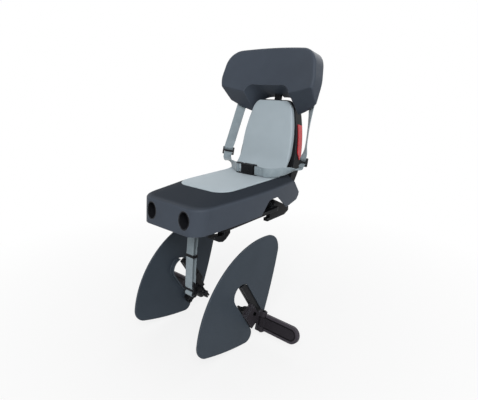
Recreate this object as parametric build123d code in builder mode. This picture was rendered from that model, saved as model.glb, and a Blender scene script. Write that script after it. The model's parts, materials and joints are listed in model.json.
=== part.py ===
"""Child seat for a bicycle's rear carrier, with harness, wheel guards and folding footrests.

Frame: +Z up, the child faces -Y, the child's left is +X. The origin is the centre of the
adapter plate's underside, where it rests on the carrier. All lengths are millimetres.
"""
import os
from math import cos, radians, sin, sqrt, tan

from build123d import *

os.makedirs("parts", exist_ok=True)

# Fits
fit_gap = 0.3
slide_gap = 0.4
pin_play = 0.05

# Seat base
seat_front = -216
seat_mid = -7
seat_half_width = 120
seat_front_half = 103.5
seat_corner = 45
seat_top = 89
crease_z = 81
crown_inset = 30
crease_round = 7
deck_rim = 8
deck_land = 1.5
base_wall = 3.5
skirt_draft = 7
front_rake = 7
skirt_z = 17
fin_z = 9
rear_slope_top = (150, 84)
rear_slope_end = (201, 34)
fin_heel = (186, 17)
arch_front = 2
arch_left = 30
arch_right = 70
arch_z = 54
arch_toe = 126
arch_round = 18
hand_gap_half = 90
hand_gap_z = 46
base_rib = 2.5
base_rib_z = 62
base_rib_x = 40
base_rib_y = (-110, -20, 70)
base_rib_half = 95
base_rib_run = 138
fin_round = 5

# Front sockets
socket_x = 58.5
socket_z = 51.5
socket_half_width = 18.5
socket_half_height = 22.5
socket_wall = 2.5
socket_depth = 40
socket_floor = 4
socket_bore_r = 6
socket_bore_rise = 7
socket_screw_drop = 11
socket_bore_length = 18

# Fasteners
screw_r = 2.5
screw_head_r = 4.75
screw_head_h = 2.8
screw_length = 22
screw_tip = 4
boss_r = 8
pin_head = 3
pin_lip = 2

# Adapter plate and its front hooks
plate_half = 94
plate_front = -128
plate_back = 110
plate_bottom = 3
plate_top = 12
plate_corner = 14
rest_half = 54
rest_front = -112
rest_back = 68
plate_screw_x = 66
plate_screw_y = (-62, 52)
hook_x = 68
hook_width = 22
hook_back = -84
hook_throat = -107
hook_tip = -142
hook_tip_z = -9
hook_throat_z = -13
hook_foot = -112
hook_foot_z = -29
hook_profile = (
    (hook_back, plate_bottom), (hook_back, hook_throat_z), (-100, -25), (hook_foot, hook_foot_z), (-126, -25),
    (hook_tip, -14), (hook_tip, hook_tip_z), (hook_throat, hook_throat_z), (hook_throat, plate_bottom),
)

# Rear latch
lever_y = 96
lever_z = 22
lever_pin_r = 4
lever_arm_x = 70
lever_arm_width = 14
lever_hub_r = 11
lever_tail = 177
lever_tail_z = -6
lever_foot_z = -27
lever_foot_y = 86
lever_toe = 74
lever_toe_h = 9
lever_bar_r = 8
lever_profile = (
    (lever_foot_y, lever_z), (100, lever_z + lever_hub_r), (lever_tail, lever_tail_z), (lever_tail, -18),
    (157, lever_foot_z), (lever_toe, lever_foot_z), (lever_toe, lever_foot_z + lever_toe_h),
    (lever_foot_y, lever_foot_z + lever_toe_h),
)
ear_width = 5
ear_r = 10
spring_wire_r = 0.8
spring_r = 6
spring_turns = 5

# Back
recline = 14.5
back_y = 151.5
back_half_low = 99
back_half_mid = 91.5
back_half_top = 62
back_mid = 118
back_height = 217
back_corner = 30
back_depth = 34
back_wall = 3.5
back_rib = 2.5
back_rib_levels = (40, 80)
back_rib_x = 50
back_low = -40
back_heel = (192, 112)
back_chamfer = 26
back_drop = 15.2
foot_tab_x = 54
foot_tab_width = 48
foot_tab_reach = 44
foot_tab_h = 4
foot_bolt_spread = 24
foot_bolt_y = 126
reflector_low = 52
reflector_high = 152
reflector_front = 9
reflector_back = 30
reflector_h = 2.5
reflector_taper = 10
reflector_round = 1.5

# Pad
pad_front = -119
pad_half_width = 88
pad_corner = 44
pad_lead = 34
pad_rise = 11
pad_lip = 8.4
pad_thick = 14
pad_bend = 62
pad_inset = 5
pad_height = 213
pad_heel = 12

# Headrest, in the reclined frame of the back
head_half = 164
head_front_mid = -52
head_front_side = -77
head_back_mid = 26
head_back_side = -32
head_top = 351.5
head_top_side = 339
head_top_half = 147
head_waist = 258
head_foot_half = 146
head_foot = 178
head_corner = 58
head_waist_round = 70
head_low = 185
head_low_slope = 0.72
head_edge_round = 7
head_low_round = 4
arch_half = 80
arch_front_top = 256
arch_back_top = 225.5
arch_front_corner = 19
arch_back_corner = 64
arch_front_d = 90
arch_back_d = 40
head_reach = 100

# Headrest stem and its lock
stem_half = 10
stem_front = 5
stem_depth = 12
stem_low = 78
stem_high = 305
stem_edge = 2
guide_low = 96
guide_wall = 3.5
travel = 60
plunger_level = 150
plunger_r = 4
plunger_knob_r = 12
plunger_knob_h = 11
plunger_pull = 5
groove_depth = 8
plunger_boss_r = 8
plunger_boss_h = 6
plunger_coil_pitch = 1.9
plunger_coil_turns = 3
bracket_half = 30
bracket_low = 234
bracket_high = 318
bracket_seat = 7
bracket_back = 21
bracket_round = 6
bracket_edge = 2
bracket_screw_points = ((-21, 246), (21, 246), (-21, 306), (21, 306))

# Harness
strap_x = 122
strap_bend = 206
adjuster_x = 139
adjuster_d = -13.9
strap_width = 28
strap_thick = 2
strap_off = 5
strap_top = 246
guide_level = 222
guide_height = 13
guide_loop_wall = 3
adjuster_width = 36
adjuster_height = 24
adjuster_thick = 5
adjuster_bar = 5
belt_width = 24
belt_rest = 3.6
belt_thick = 2
belt_round = 20
belt_points = ((72, 62), (97, 80), (105, 112), (122, 133))
belt_end = (139.5, 144)

# Buckle
buckle_x = 9
buckle_y = 70
buckle_length = 40
buckle_height = 30
buckle_thick = 15
buckle_round = 3
tongue_length = 18
tongue_thick = 5
tongue_height = 22
tongue_reach = 18
loop_bar_r = 2
loop_frame = 3
loop_depth = 9
loop_reach = 6.5
button_half = 8
button_proud = 1.5
button_pocket = 4.2
button_travel = 2.5
button_edge = 1

# Safety strap
safety_bar_r = 3.5
safety_bar_y = -135
safety_bar_z = 8
safety_bar_half = 15
safety_lug = 5
safety_lean = 7
safety_length = 172
safety_width = 25
safety_thick = 1.8
lock_width = 34
lock_height = 36
lock_thick = 6.6
lock_round = 4
lock_bar = 4
lock_lift = 14
lock_span = 16.2
lock_slot = 7
keeper_level = 86
keeper_height = 8
keeper_wall = 2

# Wheel guards
guard_x = 119
guard_thick = 4
guard_centre = (-10, -282)
guard_radius = 243
guard_rear_top = (75.5, -54.6)
guard_low = (-25.6, -328.5)
guard_front = (-252.8, -273.3)
guard_round_top = 48
guard_round_front = 40
guard_round_tip = 22
guard_bulge = 9
guard_skin = 1.2
guard_turn = 56
slot_centre = (-89, -172)
slot_angle = 59.3
slot_r = 30
slot_reach = 220
collar_height = 12
collar_wall = 3.5
collar_length = 92

# Footrest rail, in the slot's own frame
rail_side = 12
rail_top = -14
rail_low = 118
rail_inner = 104
rail_outer = 119.5
rail_flange = 14
rail_flange_low = 104
rail_flange_thick = 3
rail_foot_top = 94
rail_foot_outer = 110.3
rail_pad = 13
flange_screw_points = ((12, 37), (76, 37))
foot_screw_points = ((99, -38), (112, -38))
groove_inner = 111
groove_outer = 115
groove_reach = 5

# Stay clamp
stay_x = 89
stay_screw_points = ((99, -11), (113, -11))
stay_screw_length = 14
stay_r = 9
stay_wall = 5
stay_length = 22
stay_slit = 2
stay_ear = 13

# Footrest bracket and paddle
bracket_top = 57
bracket_low_t = 114
bracket_plate_x = 130
bracket_notch = 3
bracket_notches = 3
footrest_y = -22
footrest_z = -275
footrest_tilt = 16
root_length = 58
root_width = 22
root_round = 7
hinge_r = 3
knuckle_r = 9
knuckle_half = 13
lug_width = 14
paddle_end = 256
paddle_width = 46
paddle_thick = 12
paddle_rim = 7
paddle_groove = 4
paddle_groove_depth = 2
paddle_edge = 2
lock_screw_t = 84
hinge_head = 1.5
tongue_root = 6

# Worked-out values
up = (0, sin(radians(recline)), cos(radians(recline)))
rearward = (0, cos(radians(recline)), -sin(radians(recline)))
back_origin = (0, back_y, seat_top)
back_plan = Plane(origin=back_origin, x_dir=(1, 0, 0), z_dir=up)
back_face = Plane(origin=back_origin, x_dir=(1, 0, 0), z_dir=(0, -rearward[1], -rearward[2]))
back_side = Plane(origin=back_origin, x_dir=rearward, z_dir=(1, 0, 0))
slot_dir = (0, cos(radians(slot_angle)), -sin(radians(slot_angle)))
guard_outer = guard_x + guard_thick
seat_back = 2 * seat_mid - seat_front
wide = 4 * seat_half_width


def slot_plane(x):
    """Plane across the guard at one x, with its first axis along the slot."""
    return Plane(origin=(x, *slot_centre), x_dir=slot_dir, z_dir=(1, 0, 0))


def write_part(part, name):
    part.label = name
    export_step(part, f"parts/{name}.step")


def write_pair(part, name):
    """Write a piece of the child's left side, and its mirror image."""
    write_part(part, f"{name}_left")
    with BuildPart() as other:
        mirror(part, about=Plane.YZ)
    write_part(other.part, f"{name}_right")


def arc_centre(half, middle, side):
    """Centre along the second axis of an arc through (0, middle) and (half, side)."""
    sag = middle - side
    return middle - (half * half + sag * sag) / (2 * sag)


def seat_outline(inset, ahead=0):
    """Plan outline of the base, with its front moved ahead, then pulled in by the inset."""
    front = seat_front - ahead
    with BuildSketch() as outline:
        with BuildLine():
            Line((-seat_front_half, front), (seat_front_half, front))
            side = ThreePointArc(
                (seat_front_half, front), (seat_half_width, seat_mid), (seat_front_half, seat_back)
            )
            Line(side @ 1, (-seat_front_half, seat_back))
            mirror(side, about=Plane.YZ)
        make_face()
        fillet(outline.vertices().group_by(Axis.Y)[0], radius=seat_corner)
        if inset > 0:
            offset(amount=-inset, mode=Mode.REPLACE)
    return outline.sketch


def pad_plan(grow, rear):
    """Plan outline of the pad, widened by grow and ended at the rear."""
    half = pad_half_width + grow
    with BuildSketch() as plan:
        with BuildLine():
            Polyline(
                (-half, pad_front - grow), (half, pad_front - grow), (half, rear), (-half, rear), close=True
            )
        make_face()
        fillet(plan.vertices().group_by(Axis.Y)[0], radius=pad_corner + grow)
    return plan.sketch


def base_form(inset, crown, crown_z):
    """Closed form of the base, or of its cavity where the inset is the wall."""
    crease = crease_z - inset
    drop = crease_z - fin_z
    draft_in = drop * tan(radians(skirt_draft))
    slope_top = (rear_slope_top[0] - inset, rear_slope_top[1] - inset)
    slope_end = (rear_slope_end[0] - inset, rear_slope_end[1] - inset)
    with BuildPart() as form:
        with BuildSketch(Plane.XY.offset(crease)):
            add(seat_outline(inset))
        with BuildSketch(Plane.XY.offset(crease - drop)):
            add(seat_outline(inset + draft_in, draft_in + drop * tan(radians(front_rake))))
        loft()
        with BuildSketch(Plane.XY.offset(crease)):
            add(seat_outline(inset))
        with BuildSketch(Plane.XY.offset(crown_z)):
            add(crown)
        loft()
        crease_edges = form.edges().filter_by_position(Axis.Z, crease - fit_gap, crease + fit_gap)
        fillet(crease_edges, radius=crease_round)
        with BuildSketch(Plane.YZ):
            with BuildLine():
                Polyline(
                    slope_top, slope_end, (wide, slope_end[1]), (wide, 2 * seat_top),
                    (slope_top[0], 2 * seat_top), close=True,
                )
            make_face()
        extrude(amount=wide, both=True, mode=Mode.SUBTRACT)
    return form.part


def back_point(d, s):
    """World (y, z) of a point d behind the back's front face and s up it."""
    return (back_y + rearward[1] * d + up[1] * s, seat_top + rearward[2] * d + up[2] * s)


def back_outline(inset, low):
    """Front outline of the back in its reclined face, pulled in by the inset."""
    with BuildSketch() as outline:
        with BuildLine():
            side = ThreePointArc(
                (back_half_low, 0), (back_half_mid, back_mid), (back_half_top, back_height)
            )
            Line(side @ 1, (-back_half_top, back_height))
            mirror(side, about=Plane.YZ)
            Polyline((-back_half_low, 0), (-back_half_low, low), (back_half_low, low), side @ 0)
        make_face()
        fillet(outline.vertices().group_by(Axis.Y)[-1], radius=back_corner)
        if inset != 0:
            offset(amount=-inset, mode=Mode.REPLACE)
    return outline.sketch


def head_arch(top, corner):
    """Opening under the headrest, in a plane parallel to the back's face."""
    with BuildSketch() as opening:
        with BuildLine():
            Polyline((-arch_half, 0), (arch_half, 0), (arch_half, top), (-arch_half, top), close=True)
        make_face()
        fillet(opening.vertices().group_by(Axis.Y)[-1], radius=corner)
    return opening.sketch


def screw(plane, points, length):
    """Pan-head screws whose heads rise from the plane and whose shanks go into it."""
    with BuildPart() as screws:
        with BuildSketch(plane):
            with Locations(*points):
                Circle(screw_head_r)
        extrude(amount=screw_head_h)
        with BuildSketch(plane):
            with Locations(*points):
                Circle(screw_r)
        extrude(amount=-length)
    return screws.part


# Seat base: hollow moulding with side arches, rear fins, ribs and screw bosses
outer_form = base_form(0, pad_plan(slide_gap + deck_land, seat_back - crown_inset), seat_top + deck_rim)
cavity_form = base_form(base_wall, seat_outline(base_wall + crown_inset), seat_top - base_wall)
boss_points = [(x, y) for x in (-plate_screw_x, plate_screw_x) for y in plate_screw_y]
foot_points = [
    (side * (foot_tab_x + spread / 2), foot_bolt_y)
    for side in (-1, 1)
    for spread in (-foot_bolt_spread, foot_bolt_spread)
]
socket_points = [(-socket_x, socket_z), (socket_x, socket_z)]
socket_back = seat_front + socket_depth
roof_z = seat_top - base_wall
with BuildPart() as seat_base:
    add(outer_form)
    with BuildSketch(Plane.XY.offset(seat_top)):
        add(pad_plan(slide_gap, wide))
    extrude(amount=wide, mode=Mode.SUBTRACT)
    add(cavity_form, mode=Mode.SUBTRACT)
    with BuildSketch(Plane.XY.offset(plate_top)):
        with Locations(*boss_points):
            Circle(boss_r)
    extrude(amount=roof_z + base_wall / 2 - plate_top)
    with BuildSketch(Plane.XY.offset(base_rib_z)):
        with Locations(*foot_points):
            Circle(boss_r)
        with Locations((-base_rib_x, 0), (base_rib_x, 0)):
            Rectangle(base_rib, 2 * base_rib_run)
        for rib_y in base_rib_y:
            with Locations((0, rib_y)):
                Rectangle(2 * base_rib_half, base_rib)
    extrude(amount=roof_z + base_wall / 2 - base_rib_z)
    with BuildSketch(Plane.XZ.offset(-socket_back)):
        with Locations((0, (skirt_z + roof_z + base_wall / 2) / 2)):
            Rectangle(2 * base_rib_half, roof_z + base_wall / 2 - skirt_z)
    extrude(amount=-base_rib)
    add(outer_form, mode=Mode.INTERSECT)
    with BuildSketch(Plane.YZ) as underside:
        with BuildLine():
            Polyline(
                (2 * seat_front, -skirt_z), (2 * seat_front, skirt_z), (arch_front, skirt_z),
                (arch_left, arch_z), (arch_right, arch_z), (arch_toe, fin_z), fin_heel, rear_slope_end,
                (wide, rear_slope_end[1]), (wide, -skirt_z), close=True,
            )
        make_face()
        fillet(underside.vertices().filter_by_position(Axis.Y, arch_z - 1, arch_z + 1), radius=arch_round)
        heel = underside.vertices().filter_by_position(Axis.X, fin_heel[0] - 1, rear_slope_end[0] + 1)
        fillet(heel, radius=fin_round)
    extrude(amount=wide, both=True, mode=Mode.SUBTRACT)
    with BuildSketch(Plane.XZ.offset(-rear_slope_top[0])):
        with Locations((0, 0)):
            RectangleRounded(2 * hand_gap_half, 2 * hand_gap_z, arch_round)
    extrude(amount=-wide, mode=Mode.SUBTRACT)
    with BuildSketch(Plane.XZ.offset(wide)):
        with Locations(*socket_points):
            Ellipse(socket_half_width, socket_half_height)
    extrude(amount=-(wide + socket_back - base_rib), mode=Mode.SUBTRACT)
    with BuildSketch(Plane.XY.offset(plate_top)):
        with Locations(*boss_points):
            Circle(screw_r + pin_play)
    extrude(amount=screw_length, mode=Mode.SUBTRACT)
    with BuildSketch(Plane.XY.offset(wide)):
        with Locations(*foot_points):
            Circle(screw_r + pin_play)
    extrude(amount=-(wide - base_rib_z), mode=Mode.SUBTRACT)
    with BuildSketch(Plane.XZ.offset(wide)):
        with Locations(*[(x, z - socket_screw_drop) for x, z in socket_points]):
            Circle(screw_r + pin_play)
    extrude(amount=-(wide + socket_back + socket_depth), mode=Mode.SUBTRACT)
write_part(seat_base.part, "seat_base")

# Oval socket, flush with the drafted front face and seated on the cross wall behind it
with BuildPart() as socket_cup:
    with BuildSketch(Plane.XZ.offset(-socket_back)):
        with Locations((socket_x, socket_z)):
            Ellipse(socket_half_width - fit_gap, socket_half_height - fit_gap)
    extrude(amount=2 * socket_depth)
    add(outer_form, mode=Mode.INTERSECT)
    with BuildSketch(Plane.XZ.offset(-socket_back + socket_floor)):
        with Locations((socket_x, socket_z)):
            Ellipse(socket_half_width - fit_gap - socket_wall, socket_half_height - fit_gap - socket_wall)
    extrude(amount=2 * socket_depth, mode=Mode.SUBTRACT)
    with BuildSketch(Plane.XZ.offset(-socket_back + socket_floor)):
        with Locations((socket_x, socket_z + socket_bore_rise)):
            Circle(socket_bore_r + socket_wall)
    extrude(amount=socket_bore_length)
    with BuildSketch(Plane.XZ.offset(-socket_back)):
        with Locations((socket_x, socket_z + socket_bore_rise)):
            Circle(socket_bore_r)
        with Locations((socket_x, socket_z - socket_screw_drop)):
            Circle(screw_r + pin_play)
    extrude(amount=2 * socket_depth, mode=Mode.SUBTRACT)
write_pair(socket_cup.part, "socket_cup")

socket_screws = screw(
    Plane.XZ.offset(-socket_back + socket_floor),
    [(x, z - socket_screw_drop) for x, z in socket_points],
    socket_floor + base_rib + 2,
)
write_part(socket_screws, "socket_screws")

# Adapter plate with front hooks, latch ears and the bar for the safety strap
lever_gap = lever_arm_width / 2 + slide_gap
with BuildPart() as adapter_plate:
    with BuildSketch(Plane.XY.offset(plate_bottom)) as deck:
        with Locations((0, (plate_front + plate_back) / 2)):
            RectangleRounded(2 * plate_half, plate_back - plate_front, plate_corner)
    extrude(amount=plate_top - plate_bottom)
    with BuildSketch():
        with Locations((0, (rest_front + rest_back) / 2)):
            RectangleRounded(2 * rest_half, rest_back - rest_front, plate_corner)
    extrude(amount=plate_bottom)
    for side in (-1, 1):
        with BuildSketch(Plane.YZ.offset(side * hook_x)):
            with BuildLine():
                Polyline(*hook_profile, close=True)
            make_face()
        extrude(amount=hook_width / 2, both=True)
        with BuildSketch(Plane.YZ.offset(side * lever_arm_x)):
            with BuildLine():
                Polyline(
                    (lever_y - ear_r, plate_bottom), (lever_y + ear_r, plate_bottom),
                    (lever_y + ear_r, lever_z), (lever_y - ear_r, lever_z), close=True,
                )
            make_face()
            with Locations((lever_y, lever_z)):
                Circle(ear_r)
        extrude(amount=lever_gap + ear_width, both=True)
        with BuildSketch(Plane.XY.offset(-plate_top)):
            with Locations((side * lever_arm_x, plate_back)):
                Rectangle(2 * lever_gap, 2 * (plate_back - rest_back - fit_gap))
        extrude(amount=2 * (plate_top + lever_z), mode=Mode.SUBTRACT)
        with BuildSketch(Plane.YZ.offset(side * (safety_bar_half + safety_lug / 2))):
            with BuildLine():
                Polyline(
                    (plate_front + plate_corner, plate_bottom), (plate_front + plate_corner, plate_top),
                    (safety_bar_y, plate_top), (safety_bar_y, plate_bottom), close=True,
                )
            make_face()
            with Locations((safety_bar_y, safety_bar_z)):
                Circle((plate_top - plate_bottom) / 2)
        extrude(amount=safety_lug / 2, both=True)
    with BuildSketch(Plane.YZ):
        with Locations((lever_y, lever_z)):
            Circle(lever_pin_r + pin_play)
    extrude(amount=wide, both=True, mode=Mode.SUBTRACT)
    with BuildSketch(Plane.YZ):
        with Locations((safety_bar_y, safety_bar_z)):
            Circle(safety_bar_r)
    extrude(amount=safety_bar_half, both=True)
    with BuildSketch(Plane.XY):
        with Locations(*boss_points):
            Circle(screw_r + pin_play)
    extrude(amount=2 * plate_top, mode=Mode.SUBTRACT)
    with BuildSketch(Plane.XY):
        with Locations(*boss_points):
            Circle(screw_head_r + fit_gap)
    extrude(amount=plate_bottom + screw_head_h + fit_gap, mode=Mode.SUBTRACT)
write_part(adapter_plate.part, "adapter_plate")

head_seat = plate_bottom + screw_head_h + fit_gap
plate_screws = screw(
    Plane(origin=(0, 0, head_seat), x_dir=(1, 0, 0), z_dir=(0, 0, -1)),
    [(x, -y) for x, y in boss_points],
    screw_length - head_seat,
)
write_part(plate_screws, "plate_screws")

# Rear latch: two wedge arms with hooked feet, joined by the cross handle
with BuildPart() as release_lever:
    for side in (-1, 1):
        with BuildSketch(Plane.YZ.offset(side * lever_arm_x)) as arm:
            with BuildLine():
                Polyline(*lever_profile, close=True)
            make_face()
            with Locations((lever_y, lever_z)):
                Circle(lever_hub_r)
        extrude(amount=lever_arm_width / 2, both=True)
    with BuildSketch(Plane.YZ):
        with Locations((lever_tail - lever_bar_r, lever_tail_z - lever_bar_r)):
            Circle(lever_bar_r)
    extrude(amount=lever_arm_x, both=True)
    with BuildSketch(Plane.YZ):
        with Locations((lever_y, lever_z)):
            Circle(lever_pin_r + pin_play)
    extrude(amount=wide, both=True, mode=Mode.SUBTRACT)
write_part(release_lever.part, "release_lever")

pin_half = lever_arm_x + lever_gap + ear_width
with BuildPart() as lever_pin:
    with BuildSketch(Plane.YZ):
        with Locations((lever_y, lever_z)):
            Circle(lever_pin_r)
    extrude(amount=pin_half, both=True)
    for side in (-1, 1):
        with BuildSketch(Plane.YZ.offset(side * (pin_half + pin_head / 2 + pin_play))):
            with Locations((lever_y, lever_z)):
                Circle(lever_pin_r + pin_lip)
        extrude(amount=pin_head / 2 + pin_play, both=True)
write_part(lever_pin.part, "lever_pin")

spring_x = lever_arm_x - lever_gap - ear_width - fit_gap
with BuildPart() as lever_spring:
    with BuildLine():
        coil = Helix(
            pitch=2 * spring_wire_r + fit_gap,
            height=spring_turns * (2 * spring_wire_r + fit_gap),
            radius=spring_r,
            center=(spring_x - spring_wire_r, lever_y, lever_z),
            direction=(-1, 0, 0),
        )
    with BuildSketch(Plane(origin=coil @ 0, z_dir=coil % 0)):
        Circle(spring_wire_r)
    sweep()
write_part(lever_spring.part, "lever_spring")

# Back shell: reclined tray, open to the rear, with ribs, the stem's guide and two bolted feet
guide_half = stem_half + slide_gap + guide_wall
guide_back = stem_front + stem_depth + slide_gap + guide_wall
foot_cut = rear_slope_top[0] + fit_gap
foot_z = rear_slope_top[1] + fit_gap
foot_x = (-foot_tab_x, foot_tab_x)
with BuildPart() as back_shell:
    with BuildSketch(back_face):
        add(back_outline(0, back_low))
    extrude(amount=-back_depth)
    with BuildSketch(back_face.offset(-back_wall)):
        add(back_outline(back_wall, back_low))
    extrude(amount=-back_depth, mode=Mode.SUBTRACT)
    with BuildSketch(back_face.offset(-back_wall / 2)):
        for level in back_rib_levels:
            with Locations((0, level)):
                Rectangle(wide, back_rib)
        for side in (-1, 1):
            with Locations((side * back_rib_x, 0)):
                Rectangle(back_rib, wide)
        add(back_outline(back_wall / 2, back_low), mode=Mode.INTERSECT)
    extrude(amount=-(back_depth - 2 * back_wall))
    with BuildSketch(back_plan.offset(guide_low)):
        with Locations((0, (back_wall / 2 + guide_back) / 2)):
            Rectangle(2 * guide_half, guide_back - back_wall / 2)
    extrude(amount=back_height - back_wall / 2 - guide_low)
    with BuildSketch(back_face.offset(-guide_back)):
        with Locations((0, plunger_level)):
            Circle(plunger_boss_r)
    extrude(amount=-plunger_boss_h)
    with BuildSketch(back_plan.offset(stem_low - travel)):
        with Locations((0, stem_front + stem_depth / 2)):
            Rectangle(2 * (stem_half + slide_gap), stem_depth + 2 * slide_gap)
    extrude(amount=wide, mode=Mode.SUBTRACT)
    with BuildSketch(back_face.offset(-stem_front)):
        with Locations((0, plunger_level)):
            Circle(plunger_r + pin_play)
    extrude(amount=-wide, mode=Mode.SUBTRACT)
    with BuildSketch(Plane.YZ):
        with BuildLine():
            Polyline(
                (0, 0), (0, seat_top), (foot_cut, seat_top), (foot_cut, foot_z),
                (back_heel[0] - back_chamfer, foot_z - back_drop), back_heel, (wide, back_heel[1]), (wide, 0),
                close=True,
            )
        make_face()
    extrude(amount=wide, both=True, mode=Mode.SUBTRACT)
    with BuildSketch(Plane.XY.offset(seat_top)):
        with Locations(*[(x, back_y - foot_tab_reach / 2) for x in foot_x]):
            Rectangle(foot_tab_width, foot_tab_reach + 2 * back_wall)
    extrude(amount=foot_tab_h)
    with BuildSketch(Plane.XY.offset(seat_top)):
        with Locations(*foot_points):
            Circle(screw_r + pin_play)
    extrude(amount=foot_tab_h, mode=Mode.SUBTRACT)
write_part(back_shell.part, "back_shell")

back_bolts = screw(Plane.XY.offset(seat_top + foot_tab_h), foot_points, screw_length)
write_part(back_bolts, "back_bolts")

# Plain reflector, lying on the side of the back shell
with BuildPart() as reflector:
    with BuildSketch(back_face):
        add(back_outline(-reflector_h, back_low))
        add(back_outline(-pin_play, back_low), mode=Mode.SUBTRACT)
    extrude(amount=-back_depth)
    with BuildSketch(back_side) as plate:
        with BuildLine():
            Polyline(
                (reflector_front, reflector_high), (reflector_back, reflector_high),
                (reflector_back, reflector_low + reflector_taper),
                (reflector_back - reflector_taper / 2, reflector_low),
                (reflector_front + reflector_round, reflector_low + 2 * reflector_taper), close=True,
            )
        make_face()
        fillet(plate.vertices(), radius=reflector_round)
    extrude(amount=wide, mode=Mode.INTERSECT)
write_pair(reflector.part, "reflector")

# One-piece pad over the seat and the back
pad_low = seat_top + fit_gap
pad_top = seat_top + pad_rise
bend_s = (pad_rise - sin(radians(recline)) * pad_thick) / cos(radians(recline))
bend_point = back_point(-pad_thick, bend_s)
with BuildPart() as pad:
    with BuildSketch(Plane.YZ) as profile:
        with BuildLine():
            Polyline(
                (pad_front, pad_low), (pad_front, pad_low + pad_lip), (pad_front + pad_lead, pad_top),
                bend_point, back_point(-pad_thick, pad_height), back_point(-fit_gap, pad_height),
                back_point(-fit_gap, pad_heel), (back_y - pad_heel, pad_low), close=True,
            )
        make_face()
        fillet(profile.vertices().sort_by_distance(bend_point)[0], radius=pad_bend)
    extrude(amount=pad_half_width, both=True)
    with BuildSketch(Plane.XY):
        add(pad_plan(0, wide))
    extrude(amount=wide, mode=Mode.INTERSECT)
    with BuildSketch(back_face):
        add(back_outline(pad_inset, -wide / 2))
    extrude(amount=wide, both=True, mode=Mode.INTERSECT)
    with BuildSketch(Plane.XY):
        with Locations((0, back_y)):
            Rectangle(
                2 * foot_tab_x + foot_tab_width + 2 * slide_gap, 2 * (foot_tab_reach + back_wall + slide_gap)
            )
    extrude(amount=seat_top + foot_tab_h + screw_head_h + slide_gap, mode=Mode.SUBTRACT)
write_part(pad.part, "pad")

# Headrest: crescent in plan, rounded outline in front, sloping underside and an arch over the pad
with BuildPart() as headrest_shell:
    with BuildSketch(back_plan):
        with BuildLine():
            ThreePointArc((-head_half, head_front_side), (0, head_front_mid), (head_half, head_front_side))
            Line((head_half, head_front_side), (head_half, head_back_side))
            ThreePointArc((head_half, head_back_side), (0, head_back_mid), (-head_half, head_back_side))
            Line((-head_half, head_back_side), (-head_half, head_front_side))
        make_face()
    extrude(amount=head_top + head_reach)
    with BuildSketch(back_face) as outline:
        with BuildLine():
            ThreePointArc((-head_top_half, head_top_side), (0, head_top), (head_top_half, head_top_side))
            Polyline(
                (head_top_half, head_top_side), (head_half, head_waist), (head_foot_half, head_foot),
                (head_foot_half, 0), (-head_foot_half, 0), (-head_foot_half, head_foot),
                (-head_half, head_waist), (-head_top_half, head_top_side),
            )
        make_face()
        fillet(outline.vertices().group_by(Axis.Y)[-1], radius=head_corner)
        waist = outline.vertices().filter_by_position(Axis.Y, head_waist - 1, head_waist + 1)
        fillet(waist, radius=head_waist_round)
    extrude(amount=wide, both=True, mode=Mode.INTERSECT)
    rim = headrest_shell.faces().sort_by(SortBy.AREA)[-2:].edges()
    fillet(rim.sort_by(Axis((0, 0, 0), up))[2:], radius=head_edge_round)
    with BuildSketch(back_side):
        with BuildLine():
            Polyline(
                (-head_reach, head_low + head_low_slope * head_reach),
                (head_reach, head_low - head_low_slope * head_reach),
                (head_reach, -head_reach), (-head_reach, -head_reach), close=True,
            )
        make_face()
    extrude(amount=wide, both=True, mode=Mode.SUBTRACT)
    underside_face = headrest_shell.faces().filter_by(GeomType.PLANE).sort_by(Axis((0, 0, 0), up))[0]
    fillet(underside_face.edges(), radius=head_low_round)
    with BuildSketch(back_face.offset(arch_front_d)):
        add(head_arch(arch_front_top, arch_front_corner))
    with BuildSketch(back_face.offset(-arch_back_d)):
        add(head_arch(arch_back_top, arch_back_corner))
    loft(mode=Mode.SUBTRACT)
    with BuildSketch(back_plan):
        with Locations((0, stem_front + wide / 2)):
            Rectangle(2 * (stem_half + fit_gap), wide + 2 * fit_gap)
    extrude(amount=stem_high + fit_gap, mode=Mode.SUBTRACT)
    with BuildSketch(back_face.offset(-bracket_seat)):
        with Locations((0, (bracket_low + bracket_high) / 2)):
            RectangleRounded(2 * bracket_half, bracket_high - bracket_low, bracket_round)
    extrude(amount=-wide, mode=Mode.SUBTRACT)
    with BuildSketch(back_face.offset(-bracket_seat)):
        with Locations(*bracket_screw_points):
            Circle(screw_r + pin_play)
    extrude(amount=screw_length, mode=Mode.SUBTRACT)
write_part(headrest_shell.part, "headrest_shell")

# Clamp on the rear of the headrest that holds the stem
with BuildPart() as headrest_bracket:
    with BuildSketch(back_face.offset(-bracket_seat - pin_play)):
        with Locations((0, (bracket_low + bracket_high) / 2)):
            RectangleRounded(
                2 * (bracket_half - fit_gap), bracket_high - bracket_low - 2 * fit_gap, bracket_round
            )
    extrude(amount=-(bracket_back - bracket_seat))
    fillet(headrest_bracket.faces().sort_by(Axis.Y)[-1].edges(), radius=bracket_edge)
    with BuildSketch(back_plan):
        with Locations((0, stem_front + stem_depth / 2)):
            Rectangle(2 * (stem_half + pin_play), stem_depth + 2 * pin_play)
    extrude(amount=stem_high + fit_gap, mode=Mode.SUBTRACT)
    with BuildSketch(back_face):
        with Locations(*bracket_screw_points):
            Circle(screw_r + pin_play)
    extrude(amount=-wide, mode=Mode.SUBTRACT)
    with BuildSketch(back_face.offset(-bracket_back + screw_head_h)):
        with Locations(*bracket_screw_points):
            Circle(screw_head_r + fit_gap)
    extrude(amount=-wide, mode=Mode.SUBTRACT)
write_part(headrest_bracket.part, "headrest_bracket")

screw_plane = Plane(
    origin=back_face.offset(-bracket_back + screw_head_h).origin, x_dir=(1, 0, 0), z_dir=rearward
)
bracket_screws = screw(
    screw_plane,
    [(x, -level) for x, level in bracket_screw_points],
    bracket_back - bracket_seat + screw_length / 2,
)
write_part(bracket_screws, "bracket_screws")

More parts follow.
